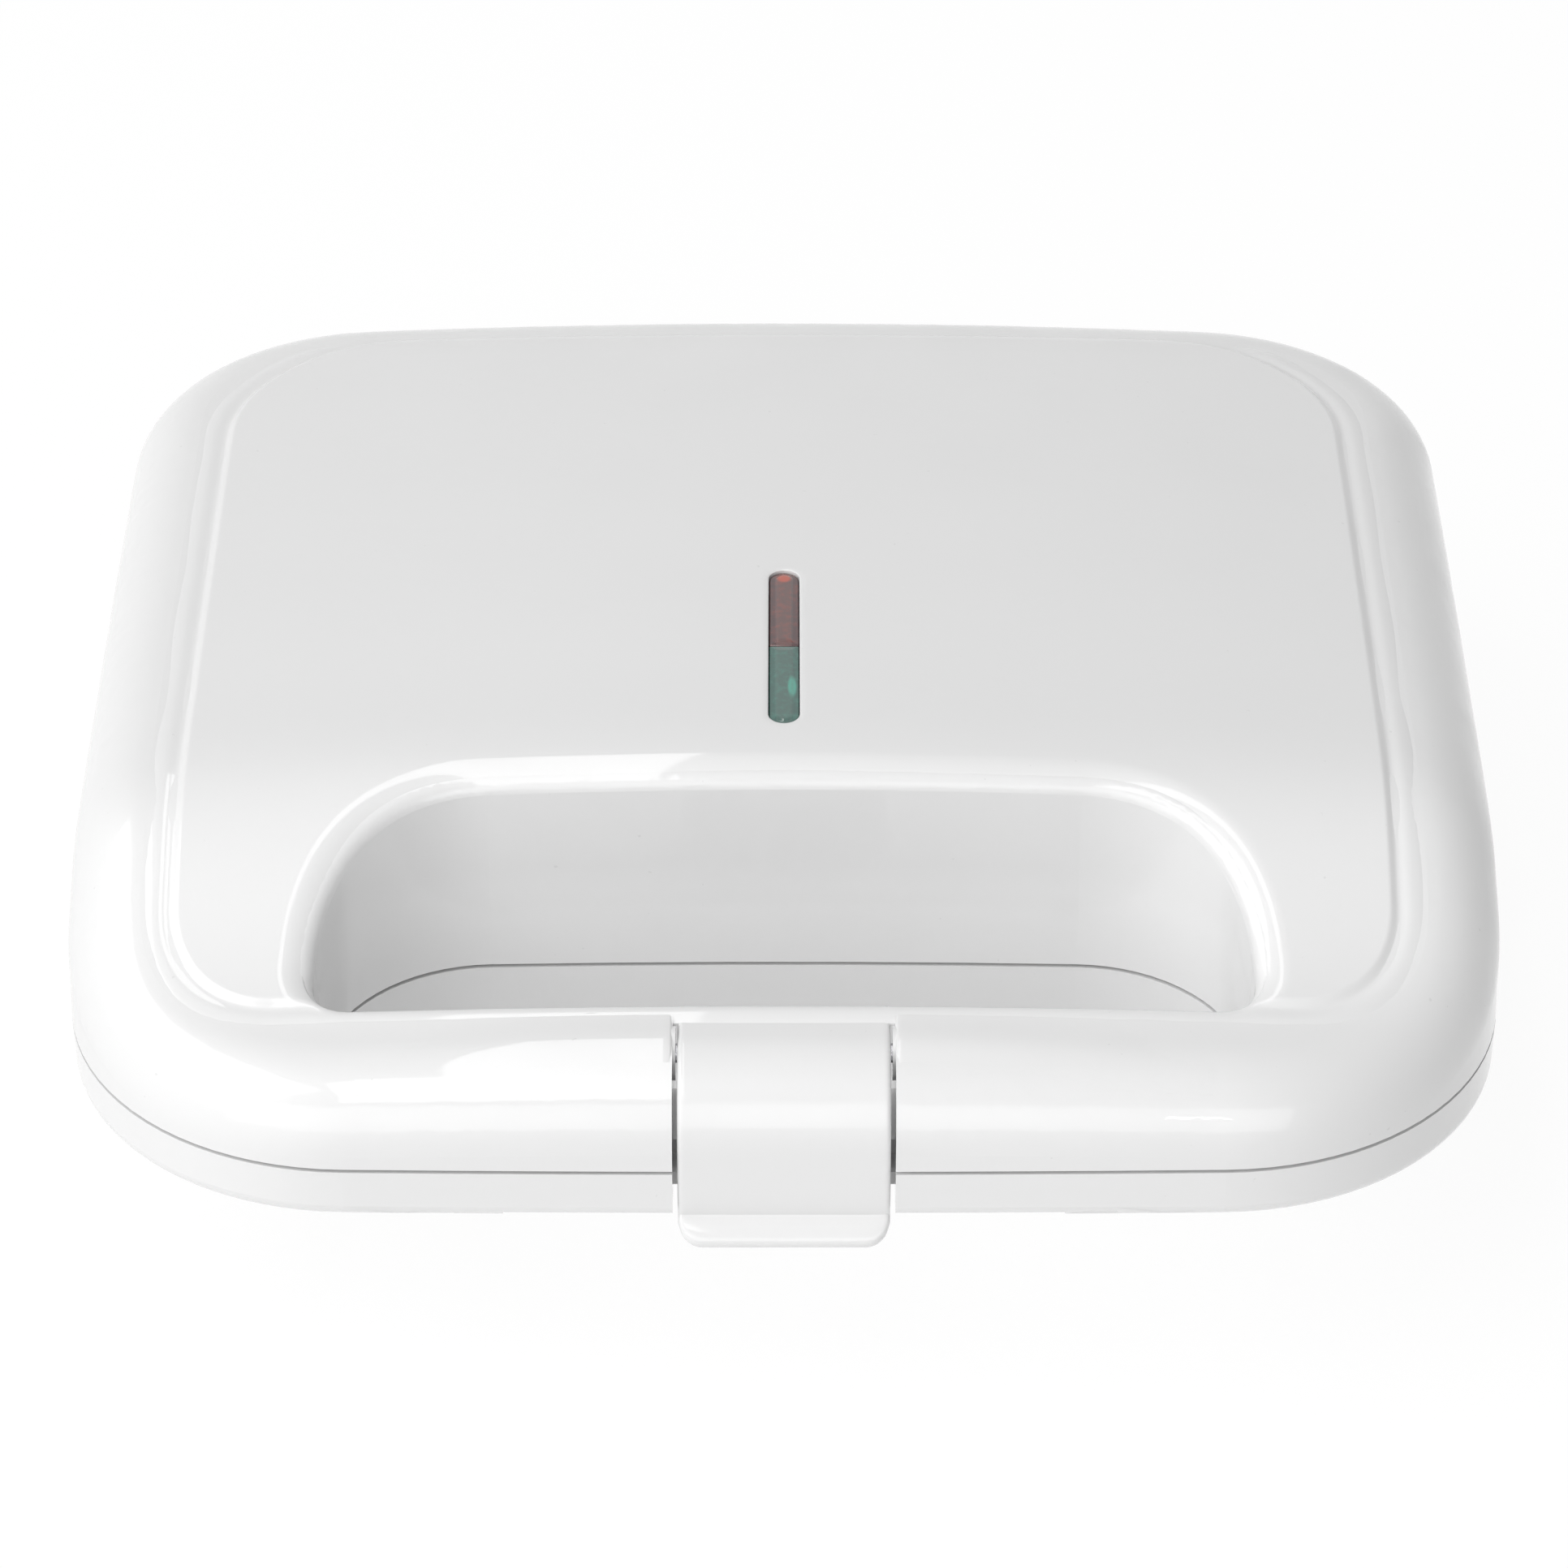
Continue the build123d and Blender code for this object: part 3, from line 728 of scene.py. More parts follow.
@dataclass
class RaisedField:
    """Raised field of the lid round the finger opening, with the slot for the lenses."""

    surface: LidSurface
    half_width: float = 95.3 * MM
    front: float = 20.5 * MM
    rear: float = 195.0 * MM
    front_corner: float = 17.0 * MM
    rear_corner: float = 34.0 * MM
    raise_by: float = 0.8 * MM
    step_width: float = 1.5 * MM
    lip_raise: float = 0.22 * MM
    lip_width: float = 4.0 * MM
    opening_half: float = 72.5 * MM
    opening_near: float = 22.0 * MM
    opening_far: float = 54.7 * MM
    opening_taper: float = 3.0 * MM
    opening_bow: float = 1.5 * MM
    opening_bow_radius: float = 600.0 * MM
    opening_front_corner: float = 5.0 * MM
    opening_rear_corner: float = 26.0 * MM
    opening_base: float = 41.3 * MM
    opening_slant: float = 0.04366
    rim_radius: float = 2.6 * MM
    rim_soft_radius: float = 8.0 * MM
    slot_half_width: float = 2.52 * MM
    slot_near: float = 68.88 * MM
    slot_far: float = 113.12 * MM
    mesh_step: float = 3.0 * MM
    ring_step: float = 1.6 * MM
    skin: float = 0.6 * MM
    slot_edge: float = 0.12 * MM
    slot_edge_width: float = 0.25 * MM
    edge_sink: float = 0.12 * MM
    edge_width: float = 0.6 * MM
    rim_sink: float = 0.15 * MM

    def outline(self) -> Loop:
        """Plan outline of the field.

        Returns:
            The loop's points.
        """
        near, far = LID_FRONT + self.front, LID_FRONT + self.rear
        return round_box(self.half_width, near, far, (self.front_corner, self.rear_corner), 24)

    def opening(self, extra: float = 0.0) -> Loop:
        """Plan outline of where the finger opening's rounded rim starts.

        Args:
            extra: How far outside that line.

        Returns:
            The loop's points.
        """
        near, far = LID_FRONT + self.opening_near, LID_FRONT + self.opening_far
        side, front, rear = self.opening_half, self.opening_front_corner, self.opening_rear_corner
        rear_side, rear_far = side - self.opening_taper, far - self.opening_bow
        corners = [(-side, near, front), (side, near, front), (rear_side, rear_far, rear)]
        corners += [(0, far, self.opening_bow_radius), (-rear_side, rear_far, rear)]
        base = resample(rounded_loop(corners, 16), self.ring_step)
        x, y = np.array(base).T
        leaned = (self.surface.height(x, y) - self.opening_base) * self.opening_slant
        return grown(base, (leaned + self.rim_radius + extra)[:, None])

    def slot(self) -> Loop:
        """Plan outline of the lens slot.

        Returns:
            The loop's points.
        """
        near, far = LID_FRONT + self.slot_near, LID_FRONT + self.slot_far
        radius = self.slot_half_width * ALMOST_ALL
        return round_box(self.slot_half_width, near, far, (radius, radius), 12)

    def rim_reach(self) -> tuple[float, float]:
        """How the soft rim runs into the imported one.

        Returns:
            How much its radius is larger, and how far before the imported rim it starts.
        """
        spare = self.rim_soft_radius - self.rim_radius
        return spare, math.sqrt(self.raise_by * (2 * spare - self.raise_by))

    def rim_end(self) -> float:
        """How far past the rim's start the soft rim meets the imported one."""
        spare, reach = self.rim_reach()
        return self.rim_radius * reach / spare + 0.1 * MM

    def rise(self, plan: np.ndarray) -> np.ndarray:
        """Height of the field above the lid's surface.

        Args:
            plan: Points of the plan.

        Returns:
            One height for each point.
        """
        inside = depth_inside(plan, self.outline())
        past = depth_inside(plan, self.opening())
        reach = self.rim_reach()[1]
        turned = np.clip(past + reach, 0, self.rim_soft_radius)
        soft = self.rim_soft_radius - np.sqrt(self.rim_soft_radius**2 - turned**2)
        rim_in = np.clip(past, 0, self.rim_radius)
        rim_drop = self.rim_radius - np.sqrt(self.rim_radius**2 - rim_in**2)
        share = np.clip(1 - (soft - rim_drop) / self.raise_by, 0, 1)
        field_rise = self.raise_by * smooth(inside / self.step_width)
        lip = self.lip_raise * smooth(-inside / (0.45 * self.lip_width))
        lip *= smooth((inside + self.lip_width) / (0.5 * self.lip_width))
        near_slot = -depth_inside(plan, self.slot())
        edge = self.slot_edge * (1 - smooth(near_slot / self.slot_edge_width))
        sunk = self.edge_sink * (1 - smooth((inside + self.lip_width) / self.edge_width))
        sunk += self.rim_sink * smooth((past - self.rim_end() + self.rim_sink) / self.rim_sink)
        return (field_rise + lip) * share - rim_drop - edge - sunk

    def rings(self) -> list[Loop]:
        """Loops of the plan that the mesh follows.

        Returns:
            The loops along the field's edge, the opening and the slot.
        """
        end = self.rim_end() / MM
        edge = [4.0, 3.4, 2.9, 2.4, 2.0, 1.5, 1.0, 0.5, 0.0]
        edge += [-0.25, -0.5, -0.75, -1.0, -1.25, -1.5, -1.75, -2.0, -3.2]
        rim = [-end, 0.15 - end, -1.1, -0.8, -0.5, -0.2, 0.1, 0.4, 0.8, 1.2]
        rim += [1.7, 2.2, 2.6, 3.0, 4.5]
        slot = [0.0, 0.06, 0.12, 0.18, 0.25, 1.2]
        outline, hole = self.outline(), self.slot()
        loops = [grown(outline, step * MM) for step in edge]
        loops += [self.opening(step * MM) for step in rim]
        return loops + [grown(hole, step * MM) for step in slot]

    def plan(self) -> tuple[np.ndarray, np.ndarray]:
        """Flat mesh of the field.

        Returns:
            Its points and its triangles.
        """
        outline, opening, slot = self.outline(), self.opening(-self.rim_end()), self.slot()
        points: list[Point2] = []
        edges: list[tuple[int, int]] = []
        for ring in self.rings():
            dense = resample(ring, self.ring_step)
            first = len(points)
            points += dense
            edges += [(first + k, first + (k + 1) % len(dense)) for k in range(len(dense))]
        span_x = np.arange(-self.half_width, self.half_width, self.mesh_step)
        span_y = np.arange(LID_FRONT, LID_FRONT + self.rear, self.mesh_step)
        grid = np.array([(x, y) for x in span_x for y in span_y])
        free = (depth_inside(grid, outline) > 4 * MM) & (depth_inside(grid, opening) < -7.5 * MM)
        free &= depth_inside(grid, slot) < -2.5 * MM
        points += [tuple(point) for point in grid[free]]
        made = delaunay_2d_cdt([Vector(point) for point in points], edges, [], 0, 1e-7)
        plan = np.array([tuple(point) for point in made[0]])
        faces = np.array(made[2])
        middles = plan[faces].mean(1)
        keep = depth_inside(middles, grown(outline, self.lip_width)) > 0
        keep &= (depth_inside(middles, opening) < 0) & (depth_inside(middles, slot) < 0)
        used = np.unique(faces[keep])
        renumber = np.full(len(plan), -1)
        renumber[used] = np.arange(len(used))
        return plan[used], renumber[faces[keep]]

    def build(self, finish: Material) -> None:
        """Makes the field's closed skin over the lid.

        Args:
            finish: The housing's material.
        """
        plan, faces = self.plan()
        level = self.surface.height(plan[:, 0], plan[:, 1])
        vertices = [(*flat, z) for flat, z in zip(plan, level + self.rise(plan))]
        vertices += [(*flat, z) for flat, z in zip(plan, level - self.skin)]
        count = len(plan)
        skin = [tuple(face) for face in faces] + [tuple(face[::-1] + count) for face in faces]
        border: dict[tuple[int, int], tuple[int, int]] = {}
        for face in faces:
            for a, b in zip(face, np.roll(face, -1)):
                key = (min(a, b), max(a, b))
                if border.pop(key, None) is None:
                    border[key] = (a, b)
        skin += [(b, a, a + count, b + count) for a, b in border.values()]
        piece = add_mesh("lid_raised_field", vertices, skin, finish)
        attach(piece, Body.LID.value)
        LOG.info("lid_raised_field: %d faces", len(skin))


@dataclass
class HandleEnds:
    """Smooth skins on the handle either side of the latch, over its pivot pads."""

    sample_x: float = 28.0 * MM
    back_from: float = 4.5 * MM
    back_to: float = 18.9 * MM
    inner_x: float = 17.02 * MM
    outer_x: float = 66.0 * MM
    edge: float = 0.5 * MM
    hump: float = 0.5 * MM
    hump_from: float = 7.5 * MM
    hump_full: float = 12.5 * MM
    hump_fall: float = 13.0 * MM
    hump_to: float = 19.0 * MM
    fade_from: float = 24.0 * MM
    fade_width: float = 38.0 * MM
    end_sink: float = 0.15 * MM
    front_full: float = 5.0 * MM
    front_run: float = 2.5 * MM
    rear_run: float = 1.0 * MM
    outer_sink: float = 0.1 * MM
    outer_run: float = 20.0 * MM
    station: float = 1.5 * MM
    skin: float = 0.8 * MM
    samples: int = 120
    degree: int = 9

    def __post_init__(self) -> None:
        """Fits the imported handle's top line."""
        backs = np.linspace(self.back_from, self.back_to, self.samples)
        heights = packed_heights(self.sample_x, backs)
        self.line = np.polynomial.Chebyshev.fit(backs, heights, self.degree)

    def top(self, x: float, back: float) -> float:
        """Height of the skin.

        Args:
            x: Distance across, positive.
            back: Distance behind the lid's front.

        Returns:
            The height in metres.
        """
        base = self.line(back) + (self.sample_x**2 - x**2) / (2 * LID_CROWN_RADIUS)
        rise = smooth((back - self.hump_from) / (self.hump_full - self.hump_from))
        rise *= 1 - smooth((back - self.hump_fall) / (self.hump_to - self.hump_fall))
        rise *= self.hump * (1 - smooth((x - self.fade_from) / self.fade_width))
        rise -= self.end_sink * (1 - smooth((back - self.front_full) / self.front_run))
        rise -= self.end_sink * smooth(1 - (self.back_to - back) / self.rear_run)
        rise -= self.outer_sink * smooth(1 - (self.outer_x - x) / self.outer_run)
        inside = max(0.0, self.edge - (x - self.inner_x))
        rise -= self.edge - math.sqrt(max(self.edge**2 - inside**2, 0.0))
        return float(base + rise)

    def build(self, finish: Material) -> None:
        """Makes both skins.

        Args:
            finish: The housing's material.
        """
        near = self.inner_x + self.edge * (1 - np.cos(np.linspace(0, math.pi / 2, 7)))
        across = [*near, *np.arange(self.inner_x + self.station, self.outer_x, self.station)]
        backs = np.linspace(self.back_from, self.back_to, 49)
        for side, name in ((-1, "handle_skin_left"), (1, "handle_skin_right")):
            rings = []
            for x in across:
                upper = [(side * x, LID_FRONT + back, self.top(x, back)) for back in backs]
                lower = [(px, py, pz - self.skin) for px, py, pz in reversed(upper)]
                rings.append(upper + lower)
            piece = add_mesh(name, *stack(rings), finish)
            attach(piece, Body.LID.value)
            LOG.info("%s: %d stations", name, len(rings))


@dataclass
class Lenses:
    """Two faceted lenses end to end in the lid's slot."""

    surface: LidSurface
    half_width: float = 2.4 * MM
    near: float = 69.0 * MM
    far: float = 113.0 * MM
    split: float = 91.3 * MM
    split_gap: float = 0.06 * MM
    split_corner: float = 0.25 * MM
    least_corner: float = 0.08 * MM
    top: float = 0.35 * MM
    facet_inset: float = 1.2 * MM
    facet_raise: float = 0.22 * MM
    flange: float = 1.5 * MM
    finishes: dict[str, Material] = field(default_factory=dict)

    def ring(self, low: float, high: float, inset: float, ends: Point2, level: float) -> list:
        """One ring of a lens.

        Args:
            low: Near end of the lens.
            high: Far end of the lens.
            inset: How far inside the outline, negative outside.
            ends: Corner radius at the near and the far end.
            level: Height above the lid's surface.

        Returns:
            Points of the ring.
        """
        side = self.half_width - inset
        near, far = LID_FRONT + low + inset, LID_FRONT + high - inset
        radii = tuple(min(max(end - inset, self.least_corner), side * ALMOST_ALL) for end in ends)
        plan = round_box(side, near, far, radii, 10)
        return [(x, y, float(self.surface.height(x, y)) + level) for x, y in plan]

    def lens(self, node: str, low: float, high: float, ends: Point2, slot: Slot) -> None:
        """Makes one lens and lets it stand for its node.

        Args:
            node: Node that it replaces.
            low: Near end.
            high: Far end.
            ends: Corner radius at the near and the far end.
            slot: The record's slot; not used.
        """
        top, inner, raised = self.top, self.facet_inset, self.top + self.facet_raise
        levels = [(-self.flange, -5.0 * MM), (-self.flange, -3.6 * MM), (0.0, -3.5 * MM)]
        levels += [(0.0, top - 0.3 * MM), (0.05 * MM, top - 0.12 * MM)]
        levels += [(0.18 * MM, top - 0.02 * MM), (0.32 * MM, top)]
        levels += [(inner - 0.35 * MM, top + 0.02 * MM), (inner - 0.25 * MM, top + 0.05 * MM)]
        levels += [(inner - 0.03 * MM, raised - 0.03 * MM)]
        levels += [(inner + 0.08 * MM, raised), (inner + 0.5 * MM, raised)]
        rings = [self.ring(low, high, inset, ends, level) for inset, level in levels]
        piece = add_mesh(node + "_faceted", *stack(rings), self.finishes[node])
        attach(piece, Body.LID.value)
        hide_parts(node)
        LOG.info("%s: %d rings", piece.name, len(rings))

    def build(self) -> None:
        """Makes both lenses."""
        low, high = self.split - self.split_gap, self.split + self.split_gap
        turned, square = self.half_width, self.split_corner
        self.lens("ready_lens", self.near, low, (turned, square), Slot.GREEN_LENS)
        self.lens("power_lens", high, self.far, (square, turned), Slot.RED_LENS)


@dataclass
class LatchClip:
    """Bent latch clip with soft edges, cheeks, pivot boss and hook."""

    seam_z: float = 42.0 * MM
    half: float = 16.25 * MM
    plate: float = 2.6 * MM
    edge: float = 0.75 * MM
    arc: float = 11.7 * MM
    arc_back: float = 13.2 * MM
    arc_up: float = 3.3 * MM
    pin_back: float = 14.0 * MM
    pin_up: float = 12.4 * MM
    pin_hole: float = 1.55 * MM
    boss: float = 3.3 * MM
    hook_reach: float = 20.5 * MM
    lip_corner: float = 3.8 * MM
    lip_taper: float = 1.15
    lip_cut_most: float = 3.1 * MM
    lip_start: Point2 = (1.6 * MM, -9.4 * MM)
    lip_tip: Point2 = (-0.95 * MM, -11.9 * MM)
    cheek: float = 2.2 * MM
    cheek_inset: float = 0.15 * MM
    cheek_edge: float = 0.25 * MM
    hook_inset: float = 4.0 * MM
    hook_edge: float = 0.2 * MM
    boss_inset: float = 0.1 * MM

    def middle_line(self, cut: float) -> Loop:
        """Side view of the plate's middle, from its top end to the lip.

        Args:
            cut: How much of the lip is taken off.

        Returns:
            Points as (back, up).
        """
        line: Loop = [(20.8 * MM, 14.75 * MM), (17.0 * MM, 14.95 * MM)]
        for step in range(25):
            angle = math.radians(90 * step / 24)
            back = self.arc_back - self.arc * math.sin(angle)
            line.append((back, self.arc_up + self.arc * math.cos(angle)))
        line += [(1.5 * MM, -1.0 * MM), (1.5 * MM, -4.6 * MM), (1.52 * MM, -5.4 * MM)]
        line += [(1.65 * MM, -6.8 * MM), (1.95 * MM, -8.2 * MM), (1.98 * MM, -8.7 * MM)]
        tip, start = Vector(self.lip_tip), Vector(self.lip_start)
        end = tip + (start - tip).normalized() * cut
        return [*line, self.lip_start, tuple(start.lerp(end, 0.5)), tuple(end)]

    def section(self, cut: float, inset: float) -> Loop:
        """Closed side outline of the plate.

        Args:
            cut: How much of the lip is taken off.
            inset: How far inside the plate's own outline.

        Returns:
            Points as (back, up).
        """
        line = np.array(self.middle_line(cut))
        along = np.gradient(line, axis=0)
        along /= np.linalg.norm(along, axis=1, keepdims=True)
        out = np.stack([along[:, 1], -along[:, 0]], 1)
        thick = self.plate / 2 - inset
        outer = line + out * thick
        inner = line - out * thick
        turns = [math.radians(angle) for angle in (30, 60, 90, 120, 150)]
        tip = [
            line[-1] + thick * (out[-1] * math.cos(t) + along[-1] * math.sin(t)) for t in turns
        ]
        root = [line[0] + thick * (-out[0] * math.cos(t) - along[0] * math.sin(t)) for t in turns]
        return [tuple(point) for point in (*outer, *tip, *inner[::-1], *root)]

    def place(self, x: float, loop: Loop) -> list[Point3]:
        """Stands a side outline in the frame at a distance across."""
        return [(x, LID_FRONT + back, self.seam_z + up) for back, up in loop]

    def columns(self) -> list[Point3]:
        """Stations across the plate.

        Returns:
            For each its distance across, the inset of the outline and the cut of the lip.
        """
        stations = []
        for angle in (0, 22.5, 45, 67.5, 90):
            turn = math.radians(angle)
            x = self.half - self.edge + self.edge * math.sin(turn)
            stations.append((x, self.edge * (1 - math.cos(turn))))
        inner = self.half - self.lip_corner
        stations = [(inner * 0.5, 0.0), (inner, 0.0)] + [
            (inner + (self.half - self.edge - inner) * share, 0.0)
            for share in (0.25, 0.45, 0.62, 0.76, 0.88)
        ] + stations
        whole = [(-x, inset) for x, inset in reversed(stations)] + stations
        result = []
        for x, inset in whole:
            over = max(0.0, abs(x) - inner)
            drop = self.lip_corner - math.sqrt(max(self.lip_corner**2 - over**2, 0.0))
            result.append((x, inset, min(drop * self.lip_taper, self.lip_cut_most)))
        return result

    def bar(self, loop: Loop, low: float, high: float, edge: float) -> tuple[list, list]:
        """Straight piece across the latch with soft ends.

        Args:
            loop: Its side outline.
            low: Where it starts across.
            high: Where it ends.
            edge: Radius of its ends' edges.

        Returns:
            Points and faces.
        """
        rings = []
        for x, turn in ((low, 90), (low, 45), (low, 0), (high, 0), (high, 45), (high, 90)):
            angle = math.radians(turn)
            sign = 1 if x == low else -1
            shifted = x + sign * edge * (1 - math.sin(angle))
            rings.append(self.place(shifted, grown(loop, -edge * (1 - math.cos(angle)))))
        return stack(rings)

    def tube(self, low: float, high: float) -> tuple[list, list]:
        """Pivot boss with its bore.

        Args:
            low: Where it starts across.
            high: Where it ends.

        Returns:
            Points and faces.
        """
        rings = []
        turns = [2 * math.pi * k / 40 for k in range(40)]
        ends = ((self.pin_hole, low), (self.boss, low), (self.boss, high), (self.pin_hole, high))
        for radius, x in ends:
            loop = [
                (self.pin_back + radius * math.cos(t), self.pin_up + radius * math.sin(t))
                for t in turns
            ]
            rings.append(self.place(x, loop))
        points, faces = stack([*rings, rings[0]])
        return points, faces[:-2]

    def cheek_line(self) -> Loop:
        """Side outline of a cheek.

        Returns:
            Points as (back, up).
        """
        line = [(20.0, 14.6), (13.2, 14.9), (5.4, 11.0), (2.0, 3.2), (2.0, -4.6)]
        line += [(5.0, -2.0), (8.5, 8.0), (18.5, 10.5)]
        return [(back * MM, up * MM) for back, up in line]

    def hook_line(self) -> Loop:
        """Side outline of the hook, whose top is an arc about the pin.

        Returns:
            Points as (back, up).
        """
        line = [(1.8, -4.0), (1.8, -9.0), (2.6, -9.6), (6.2, -7.6)]
        loop = [(back * MM, up * MM) for back, up in line]
        for back in (6.2 * MM, 5.0 * MM, 3.8 * MM, 2.6 * MM):
            drop = math.sqrt(self.hook_reach**2 - (self.pin_back - back) ** 2)
            loop.append((back, self.pin_up - drop))
        return loop

    def build(self, finish: Material) -> None:
        """Makes the clip, which stands for its node.

        Args:
            finish: The latch's material.
        """
        points, faces = stack(
            [self.place(x, self.section(cut, inset)) for x, inset, cut in self.columns()]
        )
        parts = []
        for low in (-self.half + self.cheek_inset, self.half - self.cheek):
            high = low + self.cheek - self.cheek_inset
            parts.append(self.bar(self.cheek_line(), low, high, self.cheek_edge))
        hook_end, boss_end = self.half - self.hook_inset, self.half - self.boss_inset
        parts.append(self.bar(self.hook_line(), -hook_end, hook_end, self.hook_edge))
        parts.append(self.tube(-boss_end, boss_end))
        for more_points, more_faces in parts:
            first = len(points)
            points = points + more_points
            faces = faces + [tuple(first + k for k in face) for face in more_faces]
        piece = add_mesh("latch_clip_moulded", points, faces, finish)
        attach(piece, Body.LATCH.value)
        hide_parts("latch_clip")
        LOG.info("latch_clip_moulded: %d faces", len(faces))


@dataclass
class PackedPieces:
    """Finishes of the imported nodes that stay."""

    finishes: dict[str, Material] = field(default_factory=dict)

    def build(self) -> None:
        """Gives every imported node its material."""
        for node, finish in self.finishes.items():
            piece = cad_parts[node]
            piece.data.materials.clear()
            piece.data.materials.append(finish)
            LOG.info("%s: %s", node, finish.name)


@dataclass(frozen=True)
class SoftBox:
    """One rectangular lamp: where it hangs, what it points at, its size and its power."""

    name: str
    place: Point3
    target: Point3
    size: Point2
    watts: float

    def hang(self) -> None:
        """Adds the lamp. Its second size lies along Y where it points straight down."""
        data = bpy.data.lights.new(self.name, "AREA")
        data.shape = "RECTANGLE"
        data.size, data.size_y = self.size
        data.energy = self.watts
        lamp = bpy.data.objects.new(self.name, data)
        bpy.context.scene.collection.objects.link(lamp)
        lamp.location = self.place
        way = Vector(self.target) - Vector(self.place)
        if way.xy.length > 0:
            lamp.rotation_euler = way.to_track_quat("-Z", "Y").to_euler()


@dataclass
class Studio:
    """Pale floor, soft lamps and the camera."""

    focal_length: float = 139.8
    sensor_width: float = 36.0
    camera_height: float = 0.6085
    camera_back: float = 0.84215
    tilt: float = 56.0
    nearest: float = 0.01
    farthest: float = 20.0
    floor_half: float = 3.0
    floor_level: float = -0.1 * MM
    floor_dull: Colour = (0.86, 0.86, 0.86)
    floor_pale: Colour = (0.88, 0.88, 0.88)
    floor_cloud_scale: float = 3.0
    floor_roughness: float = 0.8
    floor_glow: float = 1.035
    floor_glow_share: float = 0.89
    air_light: float = 0.31
    white: Colour = (1.0, 1.0, 1.0)
    lamps: tuple[SoftBox, ...] = (
        SoftBox("left_box", (-1.35, -0.5, 1.25), (0, 0, 0.04), (1.7, 1.7), 20.0),
        SoftBox("front_box", (-0.3, -1.9, 0.75), (0, 0, 0.04), (3.2, 1.2), 15.5),
        SoftBox("overhead_strip", (-0.098, -0.2, 1.05), (-0.098, -0.2, 0.0), (0.122, 1.8), 2.1),
        SoftBox("front_strip", (-0.214, -0.75, 1.05), (-0.214, -0.75, 0.0), (0.11, 0.7), 0.75),
        SoftBox("front_spark", (0.29, -1.6, 0.66), (0.08, -0.1, 0.06), (0.09, 0.06), 0.2),
    )

    def floor(self) -> None:
        """Lays a pale floor that shows white and keeps the shadow."""
        shader = Shader("pale_floor")
        cloud = shader.noise(self.floor_cloud_scale)
        pale = shader.blend(cloud, self.floor_dull, self.floor_pale)
        shader.set(Base_Color=pale, Roughness=self.floor_roughness)
        light = {"Color": self.white, "Strength": self.floor_glow}
        glow = shader.node("ShaderNodeEmission", {}, light)
        share = shader.seen_directly() * self.floor_glow_share
        mixed = shader.node("ShaderNodeMixShader", {}, {0: share, 1: shader.principled, 2: glow})
        shader.feed(shader.output.made.inputs["Surface"], mixed)
        half = self.floor_half
        plan = ((-half, -half), (half, -half), (half, half), (-half, half))
        corners = [(x, y, self.floor_level) for x, y in plan]
        add_mesh("studio_floor", corners, [(0, 1, 2, 3)], shader.material)

    def world(self) -> None:
        """Lights the object evenly and shows white behind it."""
        world = bpy.data.worlds.new("studio_air")
        bpy.context.scene.world = world
        world.use_nodes = True
        air = Nodes(world.node_tree)
        kind = "ShaderNodeBackground"
        soft = air.node(kind, {}, {"Color": self.white, "Strength": self.air_light})
        bright = air.node(kind, {}, {"Color": self.white, "Strength": 1.0})
        shares = {0: air.seen_directly(), 1: soft, 2: bright}
        mixed = air.node("ShaderNodeMixShader", {}, shares)
        air.node("ShaderNodeOutputWorld", {}, {"Surface": mixed})

    def camera(self) -> None:
        """Stands the camera where the photograph was taken from."""
        data = bpy.data.cameras.new("camera")
        data.lens = self.focal_length
        data.sensor_width = self.sensor_width
        data.clip_start, data.clip_end = self.nearest, self.farthest
        camera = bpy.data.objects.new("camera", data)
        camera.location = (0.0, -self.camera_back, self.camera_height)
        camera.rotation_euler = (math.radians(self.tilt), 0.0, 0.0)
        bpy.context.scene.collection.objects.link(camera)
        bpy.context.scene.camera = camera

    def build(self) -> None:
        """Sets up the whole studio."""
        self.floor()
        self.world()
        for lamp in self.lamps:
            lamp.hang()
        self.camera()
        bpy.context.scene.view_settings.view_transform = "Standard"
        LOG.info("studio: %d lamps", len(self.lamps))


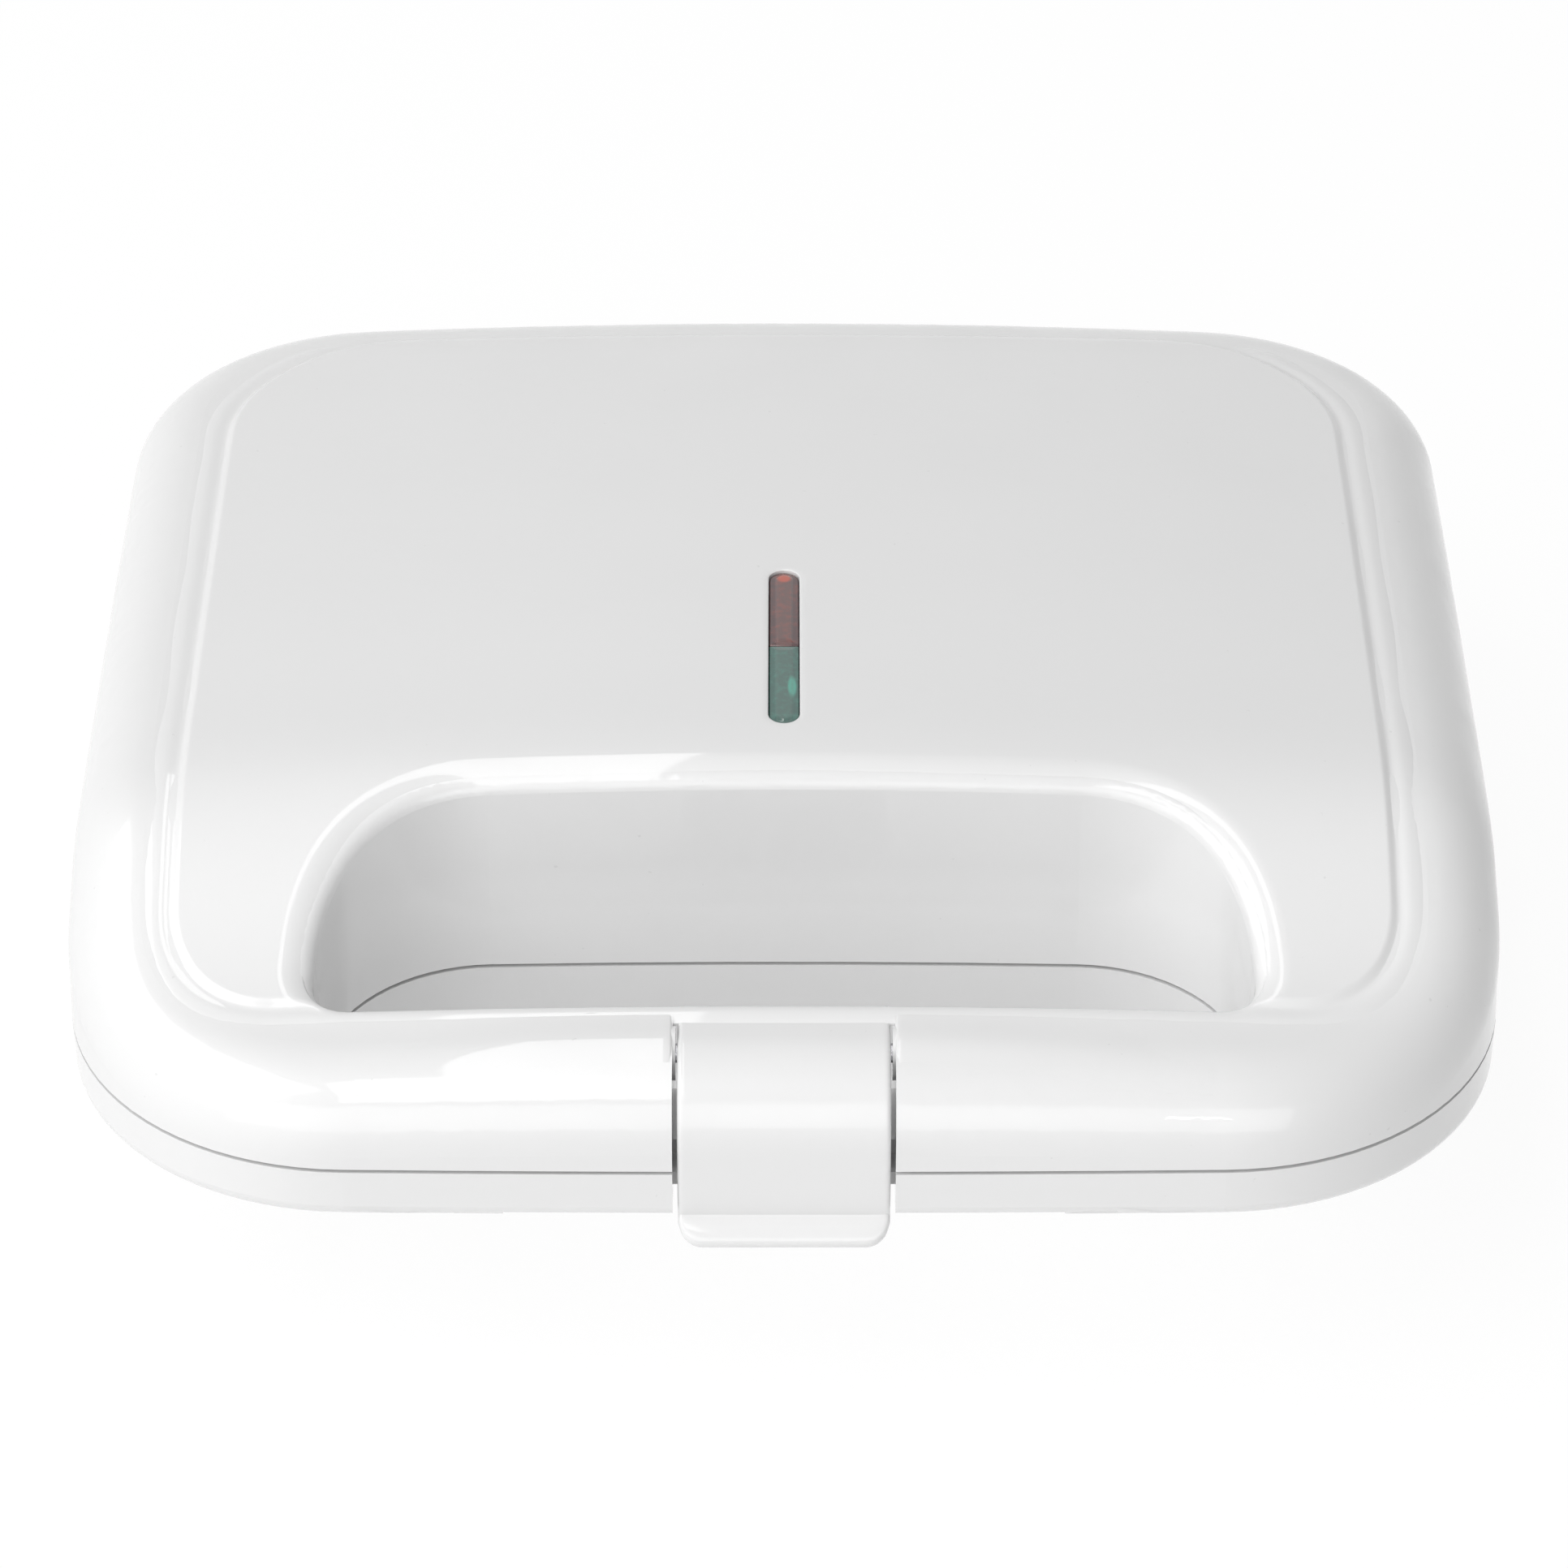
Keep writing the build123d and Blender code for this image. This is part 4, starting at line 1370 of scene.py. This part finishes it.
def packed_finishes() -> dict[str, Material]:
    """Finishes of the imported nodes.

    Returns:
        The material of each node, by its name.
    """
    white = MouldedPlastic("white_moulded_housing").make()
    coating = NonStickCoating("non_stick_coating").make()
    heater = BareMetal("heater_tube", (0.34, 0.3, 0.27), 0.42, (1, 1, 1), tarnish_share=0.5).make()
    rolled = BareMetal("rolled_aluminium", (0.8, 0.81, 0.82), 0.3, (0.1, 1, 1)).make()
    plated = BareMetal("plated_steel", (0.5, 0.5, 0.52), 0.24, tarnish_share=0.05).make()
    ceramic = MattPlastic("glazed_ceramic", (0.78, 0.76, 0.7), 0.25, 900.0, 0.000008).make()
    holder = MattPlastic("holder_plastic", (0.72, 0.7, 0.66), 0.5).make()
    gland = MattPlastic("gland_plastic", (0.74, 0.74, 0.73), 0.55).make()
    rubber = MattPlastic("foot_rubber", (0.07, 0.07, 0.07), 0.75, 1400.0, 0.00004).make()
    glass = LampGlass("lamp_glass").make()
    finishes = {"upper_housing": white, "lower_housing": white, "cord_gland": gland}
    for half in ("lower", "upper"):
        finishes[half + "_cooking_plate"] = coating
        finishes[half + "_heating_element"] = heater
        finishes[half + "_heat_shield"] = rolled
        finishes[half + "_plate_screws"] = plated
    for end in ("front_left", "front_right", "rear_left", "rear_right"):
        finishes["foot_" + end] = rubber
    finishes |= {"hinge_pin_left": plated, "hinge_pin_right": plated, "latch_pin": plated}
    finishes |= {"thermostat": ceramic, "thermal_fuse": plated, "terminal_block": holder}
    finishes |= {"lamp_holder": holder, "power_lamp": glass, "ready_lamp": glass}
    return finishes


def lens_finishes() -> dict[str, Material]:
    """Finishes of the two lenses.

    Returns:
        The material of each lens, by the node that it stands for.
    """
    red = TintedLens(
        "red_tinted_lens",
        rim=(0.05, 0.008, 0.01),
        facet=(0.12, 0.05, 0.045),
        # painted highlight on the red lens, at a fixed place
        glint=(0.55, 0.07, 0.025),
        glint_place=(0.0, 2.85 * MM, 79.0 * MM),
        glint_size=(1.5 * MM, 1.6 * MM, 10.0 * MM),
    )
    green = TintedLens(
        "green_tinted_lens",
        rim=(0.01, 0.09, 0.07),
        facet=(0.05, 0.12, 0.1),
        # painted highlight on the green lens, at a fixed place
        glint=(0.06, 0.4, 0.3),
        glint_place=(1.3 * MM, -28.65 * MM, 79.0 * MM),
        glint_size=(0.9 * MM, 3.6 * MM, 10.0 * MM),
    )
    return {"power_lens": red.make(), "ready_lens": green.make()}


def main() -> None:
    """Builds and dresses every piece in turn."""
    logging.basicConfig(level=logging.INFO, format="%(name)s %(message)s")
    finishes = packed_finishes()
    PackedPieces(finishes).build()
    surface = LidSurface()
    RaisedField(surface).build(finishes["upper_housing"])
    HandleEnds().build(finishes["upper_housing"])
    Lenses(surface, finishes=lens_finishes()).build()
    LatchClip().build(MouldedPlastic("white_moulded_latch").make())
    Studio().build()


if __name__ == "__main__":
    main()
